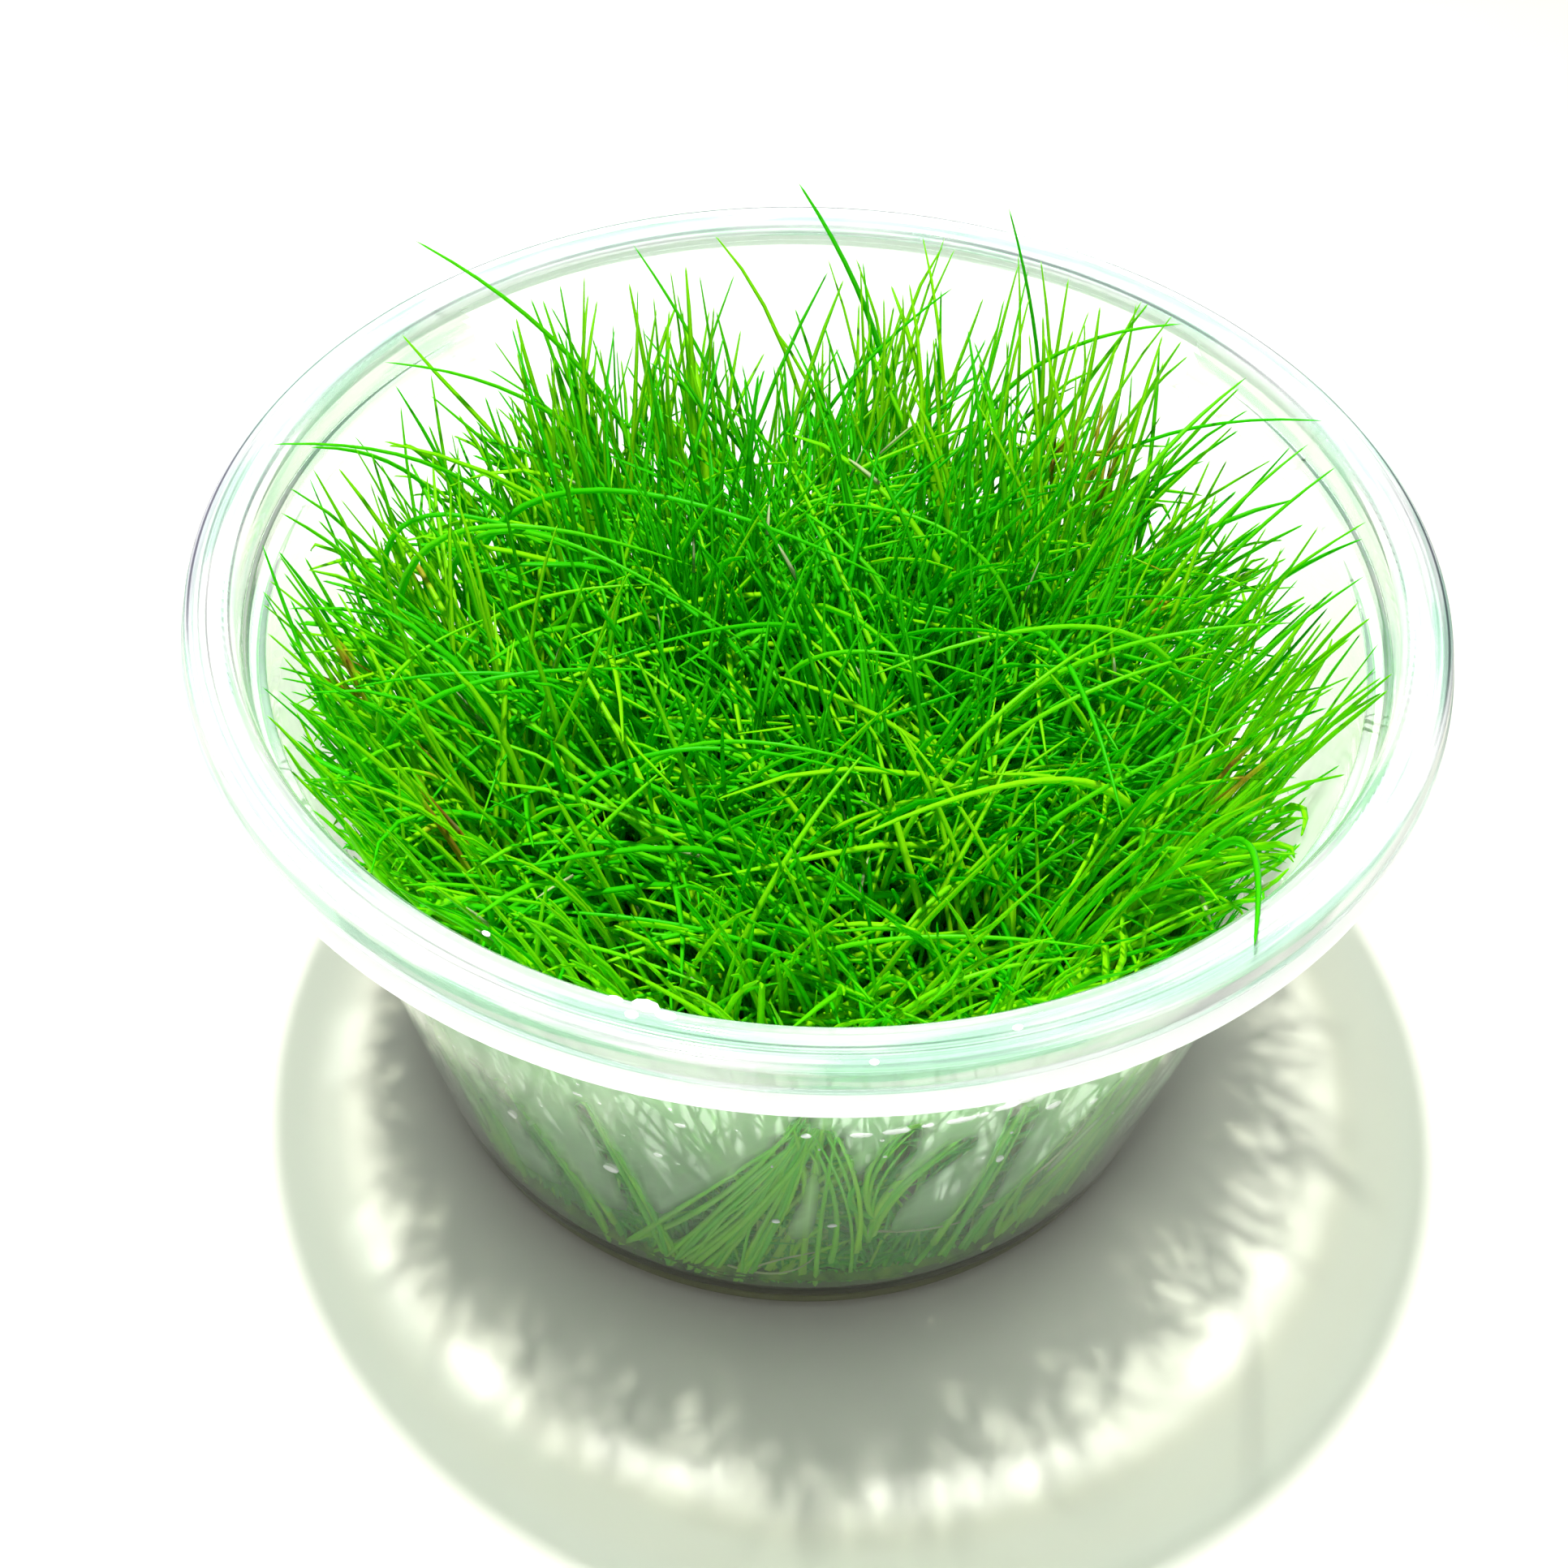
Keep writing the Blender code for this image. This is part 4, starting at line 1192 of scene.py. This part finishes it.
def through_place(root, place, tip):
    """Cubic corners of leaves that pass a place: the parabola's, raised a degree.

    The parabola (1-t)^2 A + 2t(1-t) K + t^2 D passes the place P at t = |P-A| / (|P-A| + |D-P|), so
    K is (P - (1-t)^2 A - t^2 D) / (2t(1-t)).
    """
    near, far = (np.linalg.norm(leg, axis=1, keepdims=True) for leg in (place - root, tip - place))
    t = near / (near + far)
    knee = (place - (1 - t) ** 2 * root - t ** 2 * tip) / (2 * t * (1 - t))
    return [root, root + (knee - root) * 2 / 3, tip + (knee - tip) * 2 / 3, tip]


LEAST_ON_WALL = 3.2
HELD_DRIFT, NEW_DRIFT = 0.85, 0.45
UNEVEN = (2.2, 0.8, 1.2)


def pressed(rng, foot, halfway, tip, foot_spread, tip_spread, count):
    """A bundle of leaves on the wall, from places as angle and height, spread by some degrees.

    Most of a leaf's drift holds from foot to tip, and the rest is new at each place, so leaves cross.
    No place is below the felt's lower edge.
    """
    drift = rng.normal(0, HELD_DRIFT, count)
    spreads = (foot_spread, (foot_spread + tip_spread) / 2, tip_spread)
    places = []
    for (angle, height), wide, uneven in zip((foot, halfway, tip), spreads, UNEVEN):
        turn = angle + wide * (drift + rng.normal(0, NEW_DRIFT, count))
        level = np.maximum(height + rng.normal(0, uneven, count), LEAST_ON_WALL)
        places.append(on_wall(turn, level, 0.42 + 0.3 * rng.random(count)))
    return through_place(*places)


# %% Place the named leaves
LEAST_OVER_RIM = 57.9
NAMED_MARGIN = 0.8
rng = np.random.default_rng(3)
named = [[] for _ in tuft_names]
on_glass = []
for rooted, halfway, tip, radius, shade in LONG_LEAVES + TOP_LEAVES:
    owner = int(np.argmin(np.hypot(*(middles - rooted).T)))
    root = held(np.array([[*rooted, FOOT_HEIGHT]]), NAMED_MARGIN)
    corners = through_place(root, np.array([halfway], float), np.array([tip], float))
    grown = [*corners, np.array([radius]), np.array([shade])]
    named[owner].append(grown if tip[2] > LEAST_OVER_RIM else tamed(grown, NAMED_MARGIN))
for bundle, pale in [(row, False) for row in PRESSED] + [(row, True) for row in PALE_STEMS]:
    corners = pressed(rng, *bundle)
    on_glass.append(corners)
    owner = int(np.argmin(np.hypot(*(middles - corners[0][0, :2]).T)))
    count = bundle[-1]
    size = rng.uniform(0.10, 0.16, count) if pale else rng.uniform(0.17, 0.32, count)
    shade = np.full(count, PALE) if pale else rng.uniform(0.70, 0.92, count)
    named[owner].append([*corners, size, shade])
print("named leaves:", sum(len(one[4]) for mine in named for one in mine))


# %% [markdown]
# The mist's place
#
# Mist lies on the inner wall from about 15 mm up, lower at the left. Wherever a leaf rests against
# the wall it has wiped the mist away, so the leaf shows clearly.

# %% Mist attribute
WIPED = 0.55
MIST_FOOT, MIST_TOP, MIST_RISE = 15.0, 53.0, 6.0
DIP, DIP_ANGLE, DIP_WIDTH = 4.0, -129, 22
LEAST_MIST, MIST_FADE = 0.12, 32
FRONT = -15


def mist_amount(points, touching):
    """Mist at points, from 0 to 1: a band of heights on the inner wall, wiped away near leaves.

    Its foot lies lower at the left. Towards the back it thins out, from an edge that waves with
    height. At a distance d from the nearest leaf, 1 - e^(-((d - c) / c)^2) of it is left, and none
    within c.
    """
    x, y, z = points.T
    radius = np.hypot(x, y)
    turn = np.degrees(np.arctan2(y, x))
    low = MIST_FOOT - DIP * np.exp(-((turn - DIP_ANGLE) / DIP_WIDTH) ** 2)
    band = np.clip((z - low) / MIST_RISE, 0, 1) * np.clip((MIST_TOP - z) / MIST_RISE, 0, 1)
    edge = 10 + 4 * np.sin(z / 5) + 3 * np.sin(z / 2.1 + x / 6)
    band *= np.clip((edge - y) / MIST_FADE, LEAST_MIST, 1)
    amount = np.where(radius < wall_radius(z) + 0.4, band, 0.0)
    front = (amount > 0) & (y < FRONT)
    far = np.full(int(front.sum()), np.inf)
    for near in np.array_split(touching, 30):
        far = np.minimum(far, np.linalg.norm(points[front][:, None] - near[None], axis=-1).min(1))
    amount[front] *= 1 - np.exp(-((np.maximum(far - WIPED, 0) / WIPED) ** 2))
    return amount


t = np.linspace(0.05, 1.0, 36)[None, :, None]
paths = [cubic(t, *(part[:, None] for part in corners)) for corners in on_glass]
amount = mist_amount(cup_points / MM, np.concatenate([path.reshape(-1, 3) for path in paths]))
cup_data.attributes.new("mist", "FLOAT", "POINT").data.foreach_set("value", amount.astype(np.float32))
print("corners with mist:", int((amount > 0.5).sum()))


# %% Old bits
OLD_STRETCH = (1.0, 1.0, 0.45)


def aged(made):
    """Strands whose shade goes towards an old place's own by e^(-(d/w)^4) of the distance to it."""
    points, triangles, places = made
    for x, y, z, wide, shade in OLD_PLACES:
        far = np.linalg.norm((points - [x, y, z]) * OLD_STRETCH, axis=1)
        share = np.where(places[:, 0] < LAST_GREEN, np.exp(-((far / wide) ** 4)), 0.0)
        places[:, 0] += share * (shade - places[:, 0])
    return points, triangles, places


# %% Grow the grass
PER_TUFT = 84
FRINGE = 190
GLINTS_PER_TUFT = 3
OUTER = 0.8 * FIELD_RADIUS
BACK = 8
LEFT = math.radians(186)
LEANERS, MORE_LEANERS = 9, 56
rng = np.random.default_rng(7)
total = 0
for number, (name, (middle, tips)) in enumerate(zip(tuft_names, plans)):
    leaves = tamed(spread(rng, middle, tips, PER_TUFT))
    glints = painted_glints(leaves, rng.integers(0, PER_TUFT, GLINTS_PER_TUFT), rng.uniform(0.5, 0.8, GLINTS_PER_TUFT))
    parts = [strands(*leaves, 8, 3), strands(*glints, 4, 3)]
    if np.hypot(*middle) > OUTER:
        low = wall_fringe(rng, middle, FRINGE if middle[1] < BACK else FRINGE // 3)
        facing = max(0.0, math.cos(math.atan2(middle[1], middle[0]) - LEFT))
        high = leaners(rng, middle, int(LEANERS + MORE_LEANERS * math.sqrt(facing)))
        parts += [strands(*tamed(low), 5, 3), strands(*tamed(high), 8, 3)]
    if named[number]:
        own = [np.concatenate(values) for values in zip(*named[number])]
        parts.append(strands(*own, 20, 4))
    title = f"grass_{number + 1:02d}"
    data = strand_mesh(title, aged(joined(*parts)), leaf)
    dress(title, data, "leaf_green", name)
    total += len(data.polygons)
print("triangles of grass:", total)
